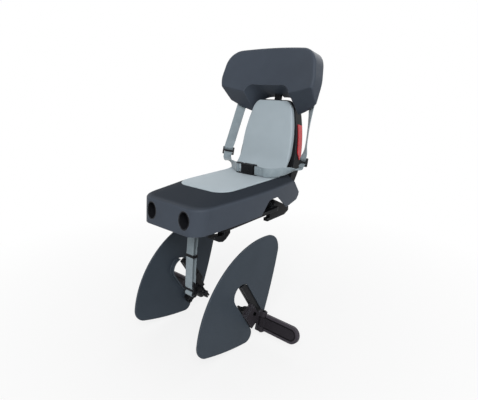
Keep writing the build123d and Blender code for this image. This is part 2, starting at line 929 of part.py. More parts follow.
# Stem with the groove that its lock rides in
with BuildPart() as headrest_stem:
    with BuildSketch(back_plan.offset(stem_low)):
        with Locations((0, stem_front + stem_depth / 2)):
            RectangleRounded(2 * stem_half, stem_depth, stem_edge)
    extrude(amount=stem_high - stem_low)
    with BuildSketch(back_face.offset(-stem_front - stem_depth)):
        with Locations((0, plunger_level - travel / 2)):
            Rectangle(2 * (plunger_r + slide_gap), travel + 2 * (plunger_r + slide_gap))
    extrude(amount=groove_depth, mode=Mode.SUBTRACT)
write_part(headrest_stem.part, "headrest_stem")

# Push knob that locks the stem, hollow for its spring
knob_front = guide_back + plunger_boss_h + plunger_pull + fit_gap
nose_front = stem_front + stem_depth - groove_depth + plunger_pull + slide_gap
with BuildPart() as height_plunger:
    with BuildSketch(back_face.offset(-nose_front)):
        with Locations((0, plunger_level)):
            Circle(plunger_r)
    extrude(amount=-(knob_front - nose_front + plunger_knob_h))
    with BuildSketch(back_face.offset(-knob_front)):
        with Locations((0, plunger_level)):
            Circle(plunger_knob_r)
    extrude(amount=-plunger_knob_h)
    with BuildSketch(back_face.offset(-knob_front)):
        with Locations((0, plunger_level)):
            Circle(plunger_boss_r + slide_gap)
            Circle(plunger_r, mode=Mode.SUBTRACT)
    extrude(amount=-(plunger_knob_h - back_wall), mode=Mode.SUBTRACT)
    fillet(height_plunger.faces().sort_by(Axis.Y)[-1].edges(), radius=stem_edge)
write_part(height_plunger.part, "height_plunger")

coil_start = guide_back + plunger_boss_h + fit_gap + spring_wire_r
coil_origin = back_face.from_local_coords((0, plunger_level, -coil_start))
with BuildPart() as plunger_spring:
    with BuildLine():
        coil = Helix(
            pitch=plunger_coil_pitch,
            height=plunger_coil_turns * plunger_coil_pitch,
            radius=spring_r,
            center=coil_origin,
            direction=rearward,
        )
    with BuildSketch(Plane(origin=coil @ 0, z_dir=coil % 0)):
        Circle(spring_wire_r)
    sweep()
write_part(plunger_spring.part, "plunger_spring")

# Shoulder straps run down behind the headrest, square to its rear curve
back_arc_centre = arc_centre(head_half, head_back_mid, head_back_side)
back_arc_r = head_back_mid - back_arc_centre
strap_sin = strap_x / back_arc_r
strap_cos = sqrt(1 - strap_sin * strap_sin)
strap_d = back_arc_centre + back_arc_r * strap_cos
strap_origin = back_plan.from_local_coords(
    (strap_x + strap_off * strap_sin, strap_d + strap_off * strap_cos, 0)
)
strap_tangent = (strap_cos, -strap_sin * rearward[1], -strap_sin * rearward[2])
strap_normal = (strap_sin, strap_cos * rearward[1], strap_cos * rearward[2])
strap_plan = Plane(origin=strap_origin, x_dir=strap_tangent, z_dir=up)
adjuster_plan = Plane(
    origin=back_plan.from_local_coords((adjuster_x, adjuster_d, 0)), x_dir=strap_tangent, z_dir=up
)
strap_window = strap_width + 2 * slide_gap
belt_low = pad_top + belt_rest
belt_high = belt_low + belt_width
adjuster_low = (belt_high + fit_gap - adjuster_plan.origin.Z) / up[2]
adjuster_level = adjuster_low + adjuster_height / 2
adjuster_plane = Plane(
    origin=adjuster_plan.from_local_coords((0, 0, adjuster_level)), x_dir=strap_tangent, z_dir=strap_normal
)

with BuildPart() as strap_guide:
    with BuildSketch(strap_plan.offset(guide_level)):
        with Locations((0, -guide_loop_wall)):
            RectangleRounded(
                strap_window + 2 * guide_loop_wall, 2 * (strap_off + guide_loop_wall), guide_loop_wall
            )
        Rectangle(strap_window, strap_thick + 2 * slide_gap, mode=Mode.SUBTRACT)
    extrude(amount=guide_height)
    add(headrest_shell.part, mode=Mode.SUBTRACT)
write_pair(strap_guide.part, "strap_guide")

with BuildPart() as shoulder_strap:
    with BuildSketch(strap_plan.offset(strap_bend)):
        Rectangle(strap_width, strap_thick)
    extrude(amount=strap_top - strap_bend)
    with BuildSketch(strap_plan.offset(strap_bend)):
        Rectangle(strap_width, strap_thick)
    with BuildSketch(adjuster_plan.offset(adjuster_low + adjuster_height + fit_gap)):
        Rectangle(strap_width, strap_thick)
    loft()
write_pair(shoulder_strap.part, "shoulder_strap")

with BuildPart() as strap_adjuster:
    with BuildSketch(adjuster_plane):
        RectangleRounded(adjuster_width, adjuster_height, adjuster_bar / 2)
        with GridLocations(0, (adjuster_height - adjuster_bar) / 2, 1, 2):
            Rectangle(strap_window, (adjuster_height - 3 * adjuster_bar) / 2, mode=Mode.SUBTRACT)
    extrude(amount=adjuster_thick / 2, both=True)
write_pair(strap_adjuster.part, "strap_adjuster")

# Buckle standing on the pad, with a bar at each end for the lap belts
buckle_z = belt_low + belt_width / 2
buckle_right = buckle_x + buckle_length / 2
buckle_left = buckle_x - buckle_length / 2
loop_right = buckle_right + loop_reach
loop_left = buckle_left - tongue_length
loop_height = belt_width + 2 * slide_gap


def loop_end(inner, bar, outer):
    """Frame with an upright bar for a webbing loop, between an inner and an outer x."""
    with BuildPart() as frame:
        for z in (buckle_z - loop_height / 2 - loop_frame / 2, buckle_z + loop_height / 2 + loop_frame / 2):
            with BuildSketch(Plane.XY.offset(z)):
                with Locations(((inner + outer) / 2, buckle_y)):
                    RectangleRounded(abs(outer - inner), loop_depth, loop_frame / 2)
            extrude(amount=loop_frame / 2, both=True)
        with BuildSketch(Plane.XY.offset(buckle_z)):
            with Locations((bar, buckle_y)):
                Circle(loop_bar_r)
        extrude(amount=loop_height / 2 + loop_frame / 2, both=True)
    return frame.part


def lap_belt(bar, points):
    """Webbing on edge along a plan path, with its end looped round an upright bar."""
    with BuildPart() as belt:
        with BuildSketch(Plane.XY.offset(belt_low)):
            with BuildLine() as path:
                FilletPolyline((bar, buckle_y), *points, radius=belt_round)
            trace(line_width=belt_thick)
            with Locations((bar, buckle_y)):
                Circle(loop_bar_r + fit_gap + belt_thick)
                Circle(loop_bar_r + fit_gap, mode=Mode.SUBTRACT)
        extrude(amount=belt_width)
    return belt.part


right_frame = loop_end(buckle_right - loop_frame, loop_right, loop_right + loop_frame)
left_frame = loop_end(buckle_left - fit_gap - loop_frame, loop_left, loop_left - loop_frame)
buckle_front = buckle_y - buckle_thick / 2
with BuildPart() as buckle_body:
    with BuildSketch(Plane.XZ.offset(-buckle_y)):
        with Locations((buckle_x, buckle_z)):
            RectangleRounded(buckle_length, buckle_height, 2 * buckle_round)
    extrude(amount=buckle_thick / 2, both=True)
    fillet(buckle_body.faces().filter_by(Axis.Y).edges(), radius=buckle_round)
    add(right_frame)
    with BuildSketch(Plane.YZ.offset(buckle_left - wide)):
        with Locations((buckle_y, buckle_z)):
            Rectangle(tongue_thick + 2 * fit_gap, tongue_height + 2 * fit_gap)
    extrude(amount=wide + tongue_reach + fit_gap, mode=Mode.SUBTRACT)
    with BuildSketch(Plane.XZ.offset(-buckle_front)):
        with Locations((buckle_x, buckle_z)):
            RectangleRounded(2 * (button_half + fit_gap), 2 * (button_half + fit_gap), buckle_round)
    extrude(amount=-button_pocket, mode=Mode.SUBTRACT)
write_part(buckle_body.part, "buckle_body")

with BuildPart() as buckle_tongue:
    with BuildSketch(Plane.YZ.offset(buckle_left - fit_gap - loop_frame)):
        with Locations((buckle_y, buckle_z)):
            Rectangle(tongue_thick, tongue_height)
    extrude(amount=tongue_reach + fit_gap + loop_frame)
    with BuildSketch(Plane.YZ.offset(buckle_left - fit_gap)):
        with Locations((buckle_y, buckle_z)):
            RectangleRounded(loop_depth, buckle_height, loop_frame / 2)
    extrude(amount=-loop_frame)
    add(left_frame)
write_part(buckle_tongue.part, "buckle_tongue")

with BuildPart() as buckle_button:
    with BuildSketch(Plane.XZ.offset(-buckle_front + button_proud)):
        with Locations((buckle_x, buckle_z)):
            RectangleRounded(2 * button_half, 2 * button_half, buckle_round)
    extrude(amount=-(button_pocket + button_proud - button_travel - fit_gap))
    fillet(buckle_button.faces().sort_by(Axis.Y)[0].edges(), radius=button_edge)
write_part(buckle_button.part, "buckle_button")

left_belt = lap_belt(loop_right, [*belt_points, belt_end])
write_part(left_belt, "lap_belt_left")
right_belt = lap_belt(loop_left, [(-x, y) for x, y in [*belt_points, belt_end]])
write_part(right_belt, "lap_belt_right")

# Safety strap: a long loop from the plate's bar to the ladder lock
lean_sin = sin(radians(safety_lean))
lean_cos = cos(radians(safety_lean))
loop_in = safety_bar_r + fit_gap
loop_out = loop_in + safety_thick
lock_y = safety_bar_y - safety_length * lean_sin
lock_z = safety_bar_z - safety_length * lean_cos
loop_mid = ((safety_bar_y + lock_y) / 2, (safety_bar_z + lock_z) / 2)
lock_plane = Plane(origin=(0, lock_y, lock_z), x_dir=(1, 0, 0), z_dir=(0, -lean_cos, lean_sin))
with BuildPart() as safety_strap:
    with BuildSketch(Plane.YZ):
        with Locations(loop_mid):
            SlotCenterToCenter(safety_length, 2 * loop_out, rotation=90 - safety_lean)
            SlotCenterToCenter(safety_length, 2 * loop_in, rotation=90 - safety_lean, mode=Mode.SUBTRACT)
    extrude(amount=safety_width / 2, both=True)
write_part(safety_strap.part, "safety_strap")

lock_window = safety_width + 2 * slide_gap
with BuildPart() as ladder_lock:
    with BuildSketch(lock_plane):
        with Locations((0, lock_lift - lock_height / 2)):
            RectangleRounded(lock_width, lock_height, lock_round)
        with Locations((0, lock_lift - lock_bar - lock_span / 2)):
            Rectangle(lock_window, lock_span, mode=Mode.SUBTRACT)
        with Locations((0, lock_lift - lock_span - 2 * lock_bar - lock_slot / 2)):
            Rectangle(lock_window, lock_slot, mode=Mode.SUBTRACT)
    extrude(amount=lock_thick / 2, both=True)
    with BuildSketch(Plane.YZ):
        with Locations((lock_y, lock_z)):
            Circle(safety_bar_r)
    extrude(amount=lock_width / 2 - lock_round / 2, both=True)
write_part(ladder_lock.part, "ladder_lock")

keeper_origin = (0, safety_bar_y - keeper_level * lean_sin, safety_bar_z - keeper_level * lean_cos)
keeper_plane = Plane(origin=keeper_origin, x_dir=(1, 0, 0), z_dir=(0, lean_sin, lean_cos))
with BuildPart() as strap_keeper:
    with BuildSketch(keeper_plane):
        RectangleRounded(
            safety_width + 2 * (fit_gap + keeper_wall), 2 * (loop_out + fit_gap + keeper_wall), keeper_wall
        )
        Rectangle(safety_width + 2 * fit_gap, 2 * (loop_out + fit_gap), mode=Mode.SUBTRACT)
    extrude(amount=keeper_height / 2, both=True)
write_part(strap_keeper.part, "strap_keeper")


def inward_screw(head_x, points, end_x):
    """Screws along +X in the slot's frame, with their heads on the wheel's side of one x."""
    plane = Plane(origin=(head_x, *slot_centre), x_dir=slot_dir, z_dir=(-1, 0, 0))
    return screw(plane, [(along, -across) for along, across in points], end_x - head_x)


def slot_shape(grow, reach):
    """Slot open at its lower end, widened by grow, in the slot's own frame."""
    with BuildSketch() as slot:
        Circle(slot_r + grow)
        with Locations((reach / 2, 0)):
            Rectangle(reach, 2 * (slot_r + grow))
    return slot.sketch


# Wheel guard: ear-shaped plate with an open slot and a raised collar on its inner face
guard_left_end = (guard_centre[0] - guard_radius * cos(radians(guard_turn)),
                  guard_centre[1] + guard_radius * sin(radians(guard_turn)))
with BuildPart() as wheel_guard:
    with BuildSketch(Plane.YZ.offset(guard_x)) as ear:
        with BuildLine():
            ThreePointArc(guard_front, guard_left_end, guard_rear_top)
            SagittaArc(guard_rear_top, guard_low, guard_bulge)
            SagittaArc(guard_low, guard_front, guard_bulge)
        make_face()
        fillet(ear.vertices().group_by(Axis.Y)[-1], radius=guard_round_top)
        fillet(ear.vertices().group_by(Axis.X)[0], radius=guard_round_front)
    extrude(amount=guard_thick)
    with BuildSketch(slot_plane(guard_x)):
        add(slot_shape(collar_wall, collar_length))
        with Locations((collar_length / 2, wide / 2 + rail_side)):
            Rectangle(wide, wide, mode=Mode.SUBTRACT)
    extrude(amount=-collar_height)
    with BuildSketch(slot_plane(guard_x - collar_height)):
        add(slot_shape(0, slot_reach))
    extrude(amount=wide, mode=Mode.SUBTRACT)
    fillet(wheel_guard.edges().filter_by(Axis.X).sort_by(Axis.Z)[0], radius=guard_round_tip)
    with BuildSketch(slot_plane(guard_x)):
        with Locations(*flange_screw_points, *foot_screw_points):
            Circle(screw_r + pin_play)
    extrude(amount=guard_thick - guard_skin, mode=Mode.SUBTRACT)
write_pair(wheel_guard.part, "wheel_guard")

# Footrest rail: fills the slot's rear side, with a flange on the guard and a foot across the open end
flange_outer = guard_x - pin_play
rail_edge = slot_r - fit_gap
stay_mid = (rail_foot_top + rail_low) / 2
with BuildPart() as footrest_rail:
    with BuildSketch(slot_plane(rail_inner)):
        with Locations(((rail_top + rail_low) / 2, (rail_side + rail_edge) / 2)):
            Rectangle(rail_low - rail_top, rail_edge - rail_side)
    extrude(amount=rail_outer - rail_inner)
    with BuildSketch(slot_plane(rail_inner)):
        add(slot_shape(-fit_gap, slot_reach))
    extrude(amount=rail_outer - rail_inner, mode=Mode.INTERSECT)
    with BuildSketch(slot_plane(flange_outer)):
        with Locations((rail_flange_low / 2, rail_edge + rail_flange / 2 - fit_gap)):
            Rectangle(rail_flange_low, rail_flange + 2 * fit_gap)
    extrude(amount=-rail_flange_thick)
    with BuildSketch(slot_plane(rail_inner)):
        with Locations((stay_mid, -rail_flange / 2)):
            Rectangle(rail_low - rail_foot_top, 2 * rail_edge + rail_flange)
    extrude(amount=rail_foot_outer - rail_inner)
    with BuildSketch(slot_plane(rail_foot_outer)):
        with Locations((stay_mid, -rail_edge - rail_flange + rail_pad / 2)):
            Rectangle(rail_low - rail_foot_top, rail_pad)
    extrude(amount=flange_outer - rail_foot_outer)
    with BuildSketch(slot_plane(groove_inner)):
        with Locations(((rail_top + rail_low) / 2, rail_side)):
            Rectangle(2 * rail_low, 2 * groove_reach)
    extrude(amount=groove_outer - groove_inner, mode=Mode.SUBTRACT)
    with BuildSketch(slot_plane(rail_inner)):
        with Locations(*flange_screw_points, *foot_screw_points, *stay_screw_points):
            Circle(screw_r + pin_play)
    extrude(amount=wide, mode=Mode.SUBTRACT)
write_pair(footrest_rail.part, "footrest_rail")

# The rail's screws go in from the wheel's side, so the guard's outer face stays plain
screw_end = guard_outer - guard_skin - fit_gap
flange_screws = inward_screw(flange_outer - rail_flange_thick, flange_screw_points, screw_end)
foot_screws = inward_screw(rail_inner, foot_screw_points, screw_end)
with BuildPart() as rail_screws:
    add(flange_screws)
    add(foot_screws)
write_pair(rail_screws.part, "rail_screws")

# Stay clamp: split ring on the rail's foot, closed by one bolt
stay_plane = Plane(
    origin=slot_plane(stay_x).from_local_coords((stay_mid, 0, 0)), x_dir=(1, 0, 0), z_dir=slot_dir
)
bolt_plane = Plane(origin=stay_plane.origin, x_dir=(1, 0, 0), z_dir=stay_plane.y_dir)
stay_out = stay_r + stay_wall
with BuildPart() as stay_clamp:
    with BuildSketch(stay_plane):
        Circle(stay_out)
        with Locations(((rail_inner - pin_play - stay_x) / 2, 0)):
            Rectangle(rail_inner - pin_play - stay_x, 2 * stay_out)
        with Locations((-stay_out - stay_ear / 2 + stay_wall / 2, 0)):
            Rectangle(stay_ear + stay_wall, 2 * stay_wall + stay_slit)
        Circle(stay_r, mode=Mode.SUBTRACT)
        with Locations((-wide / 2, 0)):
            Rectangle(wide, stay_slit, mode=Mode.SUBTRACT)
    extrude(amount=stay_length / 2, both=True)
    with BuildSketch(bolt_plane):
        with Locations((-stay_out - stay_ear / 2, 0)):
            Circle(screw_r + pin_play)
    extrude(amount=wide, both=True, mode=Mode.SUBTRACT)
    with BuildSketch(slot_plane(rail_inner)):
        with Locations(*stay_screw_points):
            Circle(screw_r + pin_play)
    extrude(amount=-stay_screw_length, mode=Mode.SUBTRACT)
write_pair(stay_clamp.part, "stay_clamp")

stay_screws = screw(slot_plane(rail_foot_outer), stay_screw_points, stay_screw_length)
write_pair(stay_screws, "stay_screws")
clamp_bolt = screw(
    bolt_plane.offset(stay_wall + stay_slit / 2),
    [(-stay_out - stay_ear / 2, 0)],
    2 * stay_wall + stay_slit + screw_tip,
)
write_pair(clamp_bolt, "clamp_bolt")

# Footrest bracket: slides in the slot beside the rail and carries the hinge lugs outside the guard
tilt_sin = sin(radians(footrest_tilt))
tilt_cos = cos(radians(footrest_tilt))
paddle_down = (0, -tilt_sin, -tilt_cos)
paddle_front = (0, -tilt_cos, tilt_sin)


def paddle_plane(x):
    """Plane across the footrest's length, first axis down its width, second to its rear."""
    return Plane(origin=(x, footrest_y, footrest_z), x_dir=paddle_down, z_dir=(1, 0, 0))


bracket_mid = (bracket_top + bracket_low_t) / 2
bracket_left = -slot_r + slide_gap
bracket_right = rail_side - slide_gap
plate_inner = guard_outer + screw_head_h + slide_gap
tongue_tip = rail_side + groove_reach - 2 * slide_gap
tongue_run = bracket_low_t - bracket_top - 4 * bracket_notch
lug_mid = knuckle_half + fit_gap + lug_width / 2
hinge_x = bracket_plate_x + knuckle_r + slide_gap
hinge_plane = Plane(origin=(hinge_x, footrest_y, footrest_z), x_dir=(1, 0, 0), z_dir=paddle_down)
notch_step = (bracket_right - bracket_left) / bracket_notches
with BuildPart() as footrest_bracket:
    with BuildSketch(slot_plane(groove_outer + fit_gap)) as slide:
        with Locations((bracket_mid, (bracket_left + bracket_right) / 2)):
            Rectangle(bracket_low_t - bracket_top, bracket_right - bracket_left)
        for notch in range(bracket_notches):
            with Locations((bracket_top, bracket_left + (notch + 1 / 2) * notch_step)):
                Rectangle(2 * bracket_notch, notch_step / 2, mode=Mode.SUBTRACT)
    extrude(amount=plate_inner - groove_outer - fit_gap)
    with BuildSketch(slot_plane(groove_inner + fit_gap)):
        with Locations((bracket_mid, (tongue_tip + bracket_right - tongue_root) / 2)):
            Rectangle(tongue_run, tongue_tip - bracket_right + tongue_root)
    extrude(amount=groove_outer - groove_inner - 2 * fit_gap)
    with BuildSketch(slot_plane(groove_inner + fit_gap)):
        with Locations((bracket_mid, bracket_right - tongue_root / 2)):
            Rectangle(tongue_run, tongue_root)
    extrude(amount=2 * (groove_outer - groove_inner))
    with BuildSketch(slot_plane(plate_inner)):
        with Locations((bracket_mid + bracket_notch, (bracket_left + bracket_right) / 2)):
            Rectangle(bracket_low_t - bracket_top - 2 * bracket_notch, bracket_right - bracket_left)
    extrude(amount=bracket_plate_x - plate_inner)
    with BuildSketch(paddle_plane(plate_inner)):
        RectangleRounded(root_length, root_width, root_round)
    extrude(amount=bracket_plate_x - plate_inner)
    for side in (-1, 1):
        with BuildSketch(hinge_plane.offset(side * lug_mid)):
            Circle(knuckle_r)
            with Locations(((bracket_plate_x - hinge_x) / 2, 0)):
                Rectangle(hinge_x - bracket_plate_x, 2 * knuckle_r)
        extrude(amount=lug_width / 2, both=True)
    with BuildSketch(hinge_plane):
        Circle(hinge_r + pin_play)
    extrude(amount=wide, both=True, mode=Mode.SUBTRACT)
    with BuildSketch(slot_plane(bracket_plate_x)):
        with Locations((lock_screw_t, 0)):
            Circle(screw_r + pin_play)
    extrude(amount=-wide, mode=Mode.SUBTRACT)
write_pair(footrest_bracket.part, "footrest_bracket")

lock_screw = screw(slot_plane(bracket_plate_x), [(lock_screw_t, 0)], bracket_plate_x - groove_outer)
write_pair(lock_screw, "lock_screw")

pin_reach = knuckle_half + fit_gap + lug_width
with BuildPart() as hinge_pin:
    with BuildSketch(hinge_plane):
        Circle(hinge_r)
    extrude(amount=pin_reach, both=True)
    for side in (-1, 1):
        with BuildSketch(hinge_plane.offset(side * (pin_reach + pin_head / 2 + pin_play))):
            Circle(hinge_r + hinge_head)
        extrude(amount=pin_head / 2 + pin_play, both=True)
write_pair(hinge_pin.part, "hinge_pin")

# Footrest paddle with a full-round end and a U-shaped groove in its front face
paddle_r = paddle_width / 2
paddle_start = hinge_x + knuckle_r + slide_gap
paddle_mid = (paddle_start + paddle_end - paddle_r) / 2
paddle_face = Plane(origin=(0, footrest_y, footrest_z), x_dir=(1, 0, 0), z_dir=paddle_front)
with BuildPart() as footrest:
    with BuildSketch(paddle_face):
        with Locations((paddle_mid, 0)):
            Rectangle(paddle_end - paddle_r - paddle_start, paddle_width)
        with Locations((paddle_end - paddle_r, 0)):
            Circle(paddle_r)
    extrude(amount=paddle_thick / 2, both=True)
    fillet(footrest.faces().filter_by(Axis((0, 0, 0), paddle_front)).edges(), radius=paddle_edge)
    with BuildSketch(hinge_plane):
        Circle(knuckle_r)
        with Locations(((paddle_start + paddle_edge - hinge_x) / 2, 0)):
            Rectangle(paddle_start + paddle_edge - hinge_x, 2 * knuckle_r)
    extrude(amount=knuckle_half, both=True)
    with BuildSketch(paddle_face.offset(paddle_thick / 2)):
        with Locations((paddle_mid, 0)):
            Rectangle(paddle_end - paddle_r - paddle_start, paddle_width - 2 * paddle_rim)
        with Locations((paddle_end - paddle_r, 0)):
            Circle(paddle_r - paddle_rim)
        with Locations((paddle_mid, 0)):
            Rectangle(wide, paddle_width - 2 * paddle_rim - 2 * paddle_groove, mode=Mode.SUBTRACT)
    extrude(amount=-paddle_groove_depth, mode=Mode.SUBTRACT)
    with BuildSketch(hinge_plane):
        Circle(hinge_r + pin_play)
    extrude(amount=wide, both=True, mode=Mode.SUBTRACT)
write_pair(footrest.part, "footrest")
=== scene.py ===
"""Dresses the child bike seat: moulded plastics, foam pad, harness webbing and small hardware.

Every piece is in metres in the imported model's frame: +Z up, the seat faces -Y, its own left is +X.
"""
import json
from math import cos, pi, radians, sin, sqrt

import bpy
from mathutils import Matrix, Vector
from mathutils.geometry import interpolate_bezier


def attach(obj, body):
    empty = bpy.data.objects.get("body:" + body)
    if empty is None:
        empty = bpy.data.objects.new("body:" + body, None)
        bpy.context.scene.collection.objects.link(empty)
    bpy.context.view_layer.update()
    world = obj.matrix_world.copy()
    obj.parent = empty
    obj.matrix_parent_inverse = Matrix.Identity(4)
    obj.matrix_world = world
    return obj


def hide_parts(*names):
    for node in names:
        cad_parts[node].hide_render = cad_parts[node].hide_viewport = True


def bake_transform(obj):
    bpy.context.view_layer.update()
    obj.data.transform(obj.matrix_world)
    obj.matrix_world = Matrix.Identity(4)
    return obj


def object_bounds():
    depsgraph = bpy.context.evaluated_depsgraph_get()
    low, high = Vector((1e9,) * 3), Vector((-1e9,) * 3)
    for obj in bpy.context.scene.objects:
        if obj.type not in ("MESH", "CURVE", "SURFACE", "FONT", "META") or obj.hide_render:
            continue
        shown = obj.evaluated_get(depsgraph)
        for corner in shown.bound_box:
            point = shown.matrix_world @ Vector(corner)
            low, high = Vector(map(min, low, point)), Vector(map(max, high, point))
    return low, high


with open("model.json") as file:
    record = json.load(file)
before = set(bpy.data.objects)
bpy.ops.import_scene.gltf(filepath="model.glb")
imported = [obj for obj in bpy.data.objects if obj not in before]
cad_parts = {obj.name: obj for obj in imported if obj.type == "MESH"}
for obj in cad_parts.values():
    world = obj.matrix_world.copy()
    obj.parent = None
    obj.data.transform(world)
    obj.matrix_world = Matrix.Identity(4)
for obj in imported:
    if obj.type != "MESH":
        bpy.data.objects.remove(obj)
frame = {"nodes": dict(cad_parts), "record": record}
cad_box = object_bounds()
nodes = frame["nodes"]

# Sizes shared with the solids, in metres
MM = 0.001
RECLINE = radians(14.5)
BACK_Y = 151.5 * MM
SEAT_TOP = 89 * MM

# Camera of the photograph
CAMERA_PLACE = (0.720, -0.790, 0.368)
CAMERA_TURN = (radians(72.85), 0, radians(40.92))
CAMERA_LENS = 30.5
CAMERA_SENSOR = 36
CAMERA_NEAR = 0.01

# Colours as sRGB hex: the darker and the lighter shade of a material, or one shade
SLATE = ("3a4049", "434a54")
GUARD = ("333b43", "3b434c")
NYLON = ("121315", "1b1c1f")
FOOTREST = ("252327", "302d32")
FOAM = ("98a4ab", "a4b0b7")
WEB = ("717e85", "939fa5")
THREAD = ("939fa5", "b7c0c4")
LENS = ("9a101a", "c62730")
ZINC = ("8b8f93", "b0b4b8")
OXIDE = ("17181b", "26282c")
# The deck's darker colour is painted shade
DECK_PAINTED_SHADE = "282d34"
# The colour of the painted highlight along edges
EDGE_HIGHLIGHT_COLOUR = "7d858f"
FLOOR_COLOUR = "d2d2d2"
WHITE = (1, 1, 1, 1)

# Moulded finishes: roughness, drawn grain in mm, edge radius in mm; then the grain's depth and the flow marks
SLATE_FINISH = (0.46, 1.6, 2.2)
NYLON_FINISH = (0.42, 1.1, 1)
FOOTREST_FINISH = (0.5, 1.3, 1)
GRAIN_DEPTH = 0.15
FLOW_MARK = 70

# Painted highlight along edges: its strength, the cosine of the rounded normal's lean at a full edge and at
# none, its patches in mm
EDGE_HIGHLIGHT_STRENGTH = 0.8
EDGE_FULL = 0.8
EDGE_NONE = 0.985
EDGE_HIGHLIGHT_PATCH = 14

# The deck of the base: the level where it starts and the band it changes in, in mm, and its roughness
DECK_LEVEL = 81
DECK_BELOW = 2
DECK_ABOVE = 3
DECK_ROUGHNESS = 0.9

# The footrest paddle in mm: its middle line and lean, where its round end starts, its groove off that line;
# then the painted shade of its panel and groove and the painted highlight of its rim, as factors on the plain
# plastic, and the strength of its edges' painted highlight
PADDLE_Y = -22
PADDLE_Z = -275
PADDLE_LEAN = radians(16)
PADDLE_ROUND = 233
GROOVE_INNER = 12
GROOVE_OUTER = 16
GROOVE_SOFT = 0.3
PANEL_PAINTED_SHADE = 0.85
GROOVE_PAINTED_SHADE = 0.3
RIM_PAINTED_HIGHLIGHT = 1.9
PADDLE_EDGE_HIGHLIGHT = 0.15

# Pattern sizes of the other materials, in mm, and the weave's contrast
FOAM_CLOUD = 45
FOAM_PORE = 1.4
FOAM_PORE_DEPTH = 0.2
RIB_SPACING = 2.4
CORD_SPACING = 3.6
WEAVE_DEPTH = 0.3
WEAVE_CONTRAST = 1.6
WEB_PATCH = 18
PLY_WAVE = 4.8
PRISM_CELL = 3
PRISM_DEPTH = 0.4
PLATING_CLOUD = 4

# Sockets of a Mix node: its factor, its two values, its two colours, and the colour that comes out
FACTOR = 0
VALUE_A = 2
VALUE_B = 3
COLOUR_A = 6
COLOUR_B = 7
MIXED = 2


def linear(colour):
    """An sRGB hex colour as linear RGBA."""
    channels = [int(colour[i:i + 2], 16) / 255 for i in (0, 2, 4)]
    return [c / 12.92 if c <= 0.04045 else ((c + 0.055) / 1.055) ** 2.4 for c in channels] + [1]


def add_node(material, kind, inputs=None, **settings):
    """Adds a node with its settings; an input is a value, or the socket that it is linked from."""
    tree = material.node_tree
    made = tree.nodes.new(kind)
    for name, value in settings.items():
        setattr(made, name, value)
    for key, value in (inputs or {}).items():
        if isinstance(value, bpy.types.NodeSocket):
            tree.links.new(value, made.inputs[key])
        else:
            made.inputs[key].default_value = value
    return made


def new_material(name, sockets):
    """A node material and its shader, with the sockets that are the same all over the surface."""
    material = bpy.data.materials.new(name)
    material.use_nodes = True
    shader = material.node_tree.nodes["Principled BSDF"]
    for key, value in sockets.items():
        shader.inputs[key].default_value = value
    return material, shader


def per_metre(millimetres):
    """Pattern scale whose features are this many millimetres across."""
    return 1 / (millimetres * MM)


def paddle_painted_light(material, place, colour):
    """The paddle's painted light: painted shade on the panel inside its U-shaped groove, darkest in the
    groove, and a painted highlight on the rim round it.

    The rear all takes the rim's painted highlight.
    """
    turned = add_node(material, "ShaderNodeMapping",
                      {"Vector": place, "Location": (0, PADDLE_Y * MM, PADDLE_Z * MM),
                       "Rotation": (-PADDLE_LEAN, 0, 0)}, vector_type="TEXTURE")
    split = add_node(material, "ShaderNodeSeparateXYZ", {0: turned.outputs[0]})
    out = add_node(material, "ShaderNodeMath", {0: split.outputs["X"]}, operation="ABSOLUTE")
    past = add_node(material, "ShaderNodeMath", {0: out.outputs[0], 1: PADDLE_ROUND * MM},
                    operation="SUBTRACT", use_clamp=True)
    flat = add_node(material, "ShaderNodeCombineXYZ", {"X": past.outputs[0], "Y": split.outputs["Z"]})
    off_line = add_node(material, "ShaderNodeVectorMath", {0: flat.outputs[0]}, operation="LENGTH")
    rear = add_node(material, "ShaderNodeMath", {0: split.outputs["Y"], 1: 0}, operation="GREATER_THAN")
    far = add_node(material, "ShaderNodeMath", {0: off_line.outputs["Value"], 1: rear.outputs[0]},
                   operation="ADD").outputs[0]
    inside = add_node(material, "ShaderNodeMapRange",
                      {"Value": far, "From Min": (GROOVE_INNER - GROOVE_SOFT) * MM,
                       "From Max": (GROOVE_INNER + GROOVE_SOFT) * MM,
                       "To Min": PANEL_PAINTED_SHADE, "To Max": GROOVE_PAINTED_SHADE})
    outside = add_node(material, "ShaderNodeMapRange",
                       {"Value": far, "From Min": (GROOVE_OUTER - GROOVE_SOFT) * MM,
                        "From Max": (GROOVE_OUTER + GROOVE_SOFT) * MM})
    shade = add_node(material, "ShaderNodeMix",
                     {FACTOR: outside.outputs[0], VALUE_A: inside.outputs[0], VALUE_B: RIM_PAINTED_HIGHLIGHT})
    shaded = add_node(material, "ShaderNodeVectorMath", {0: colour, "Scale": shade.outputs[0]},
                      operation="SCALE")
    return shaded.outputs[0]


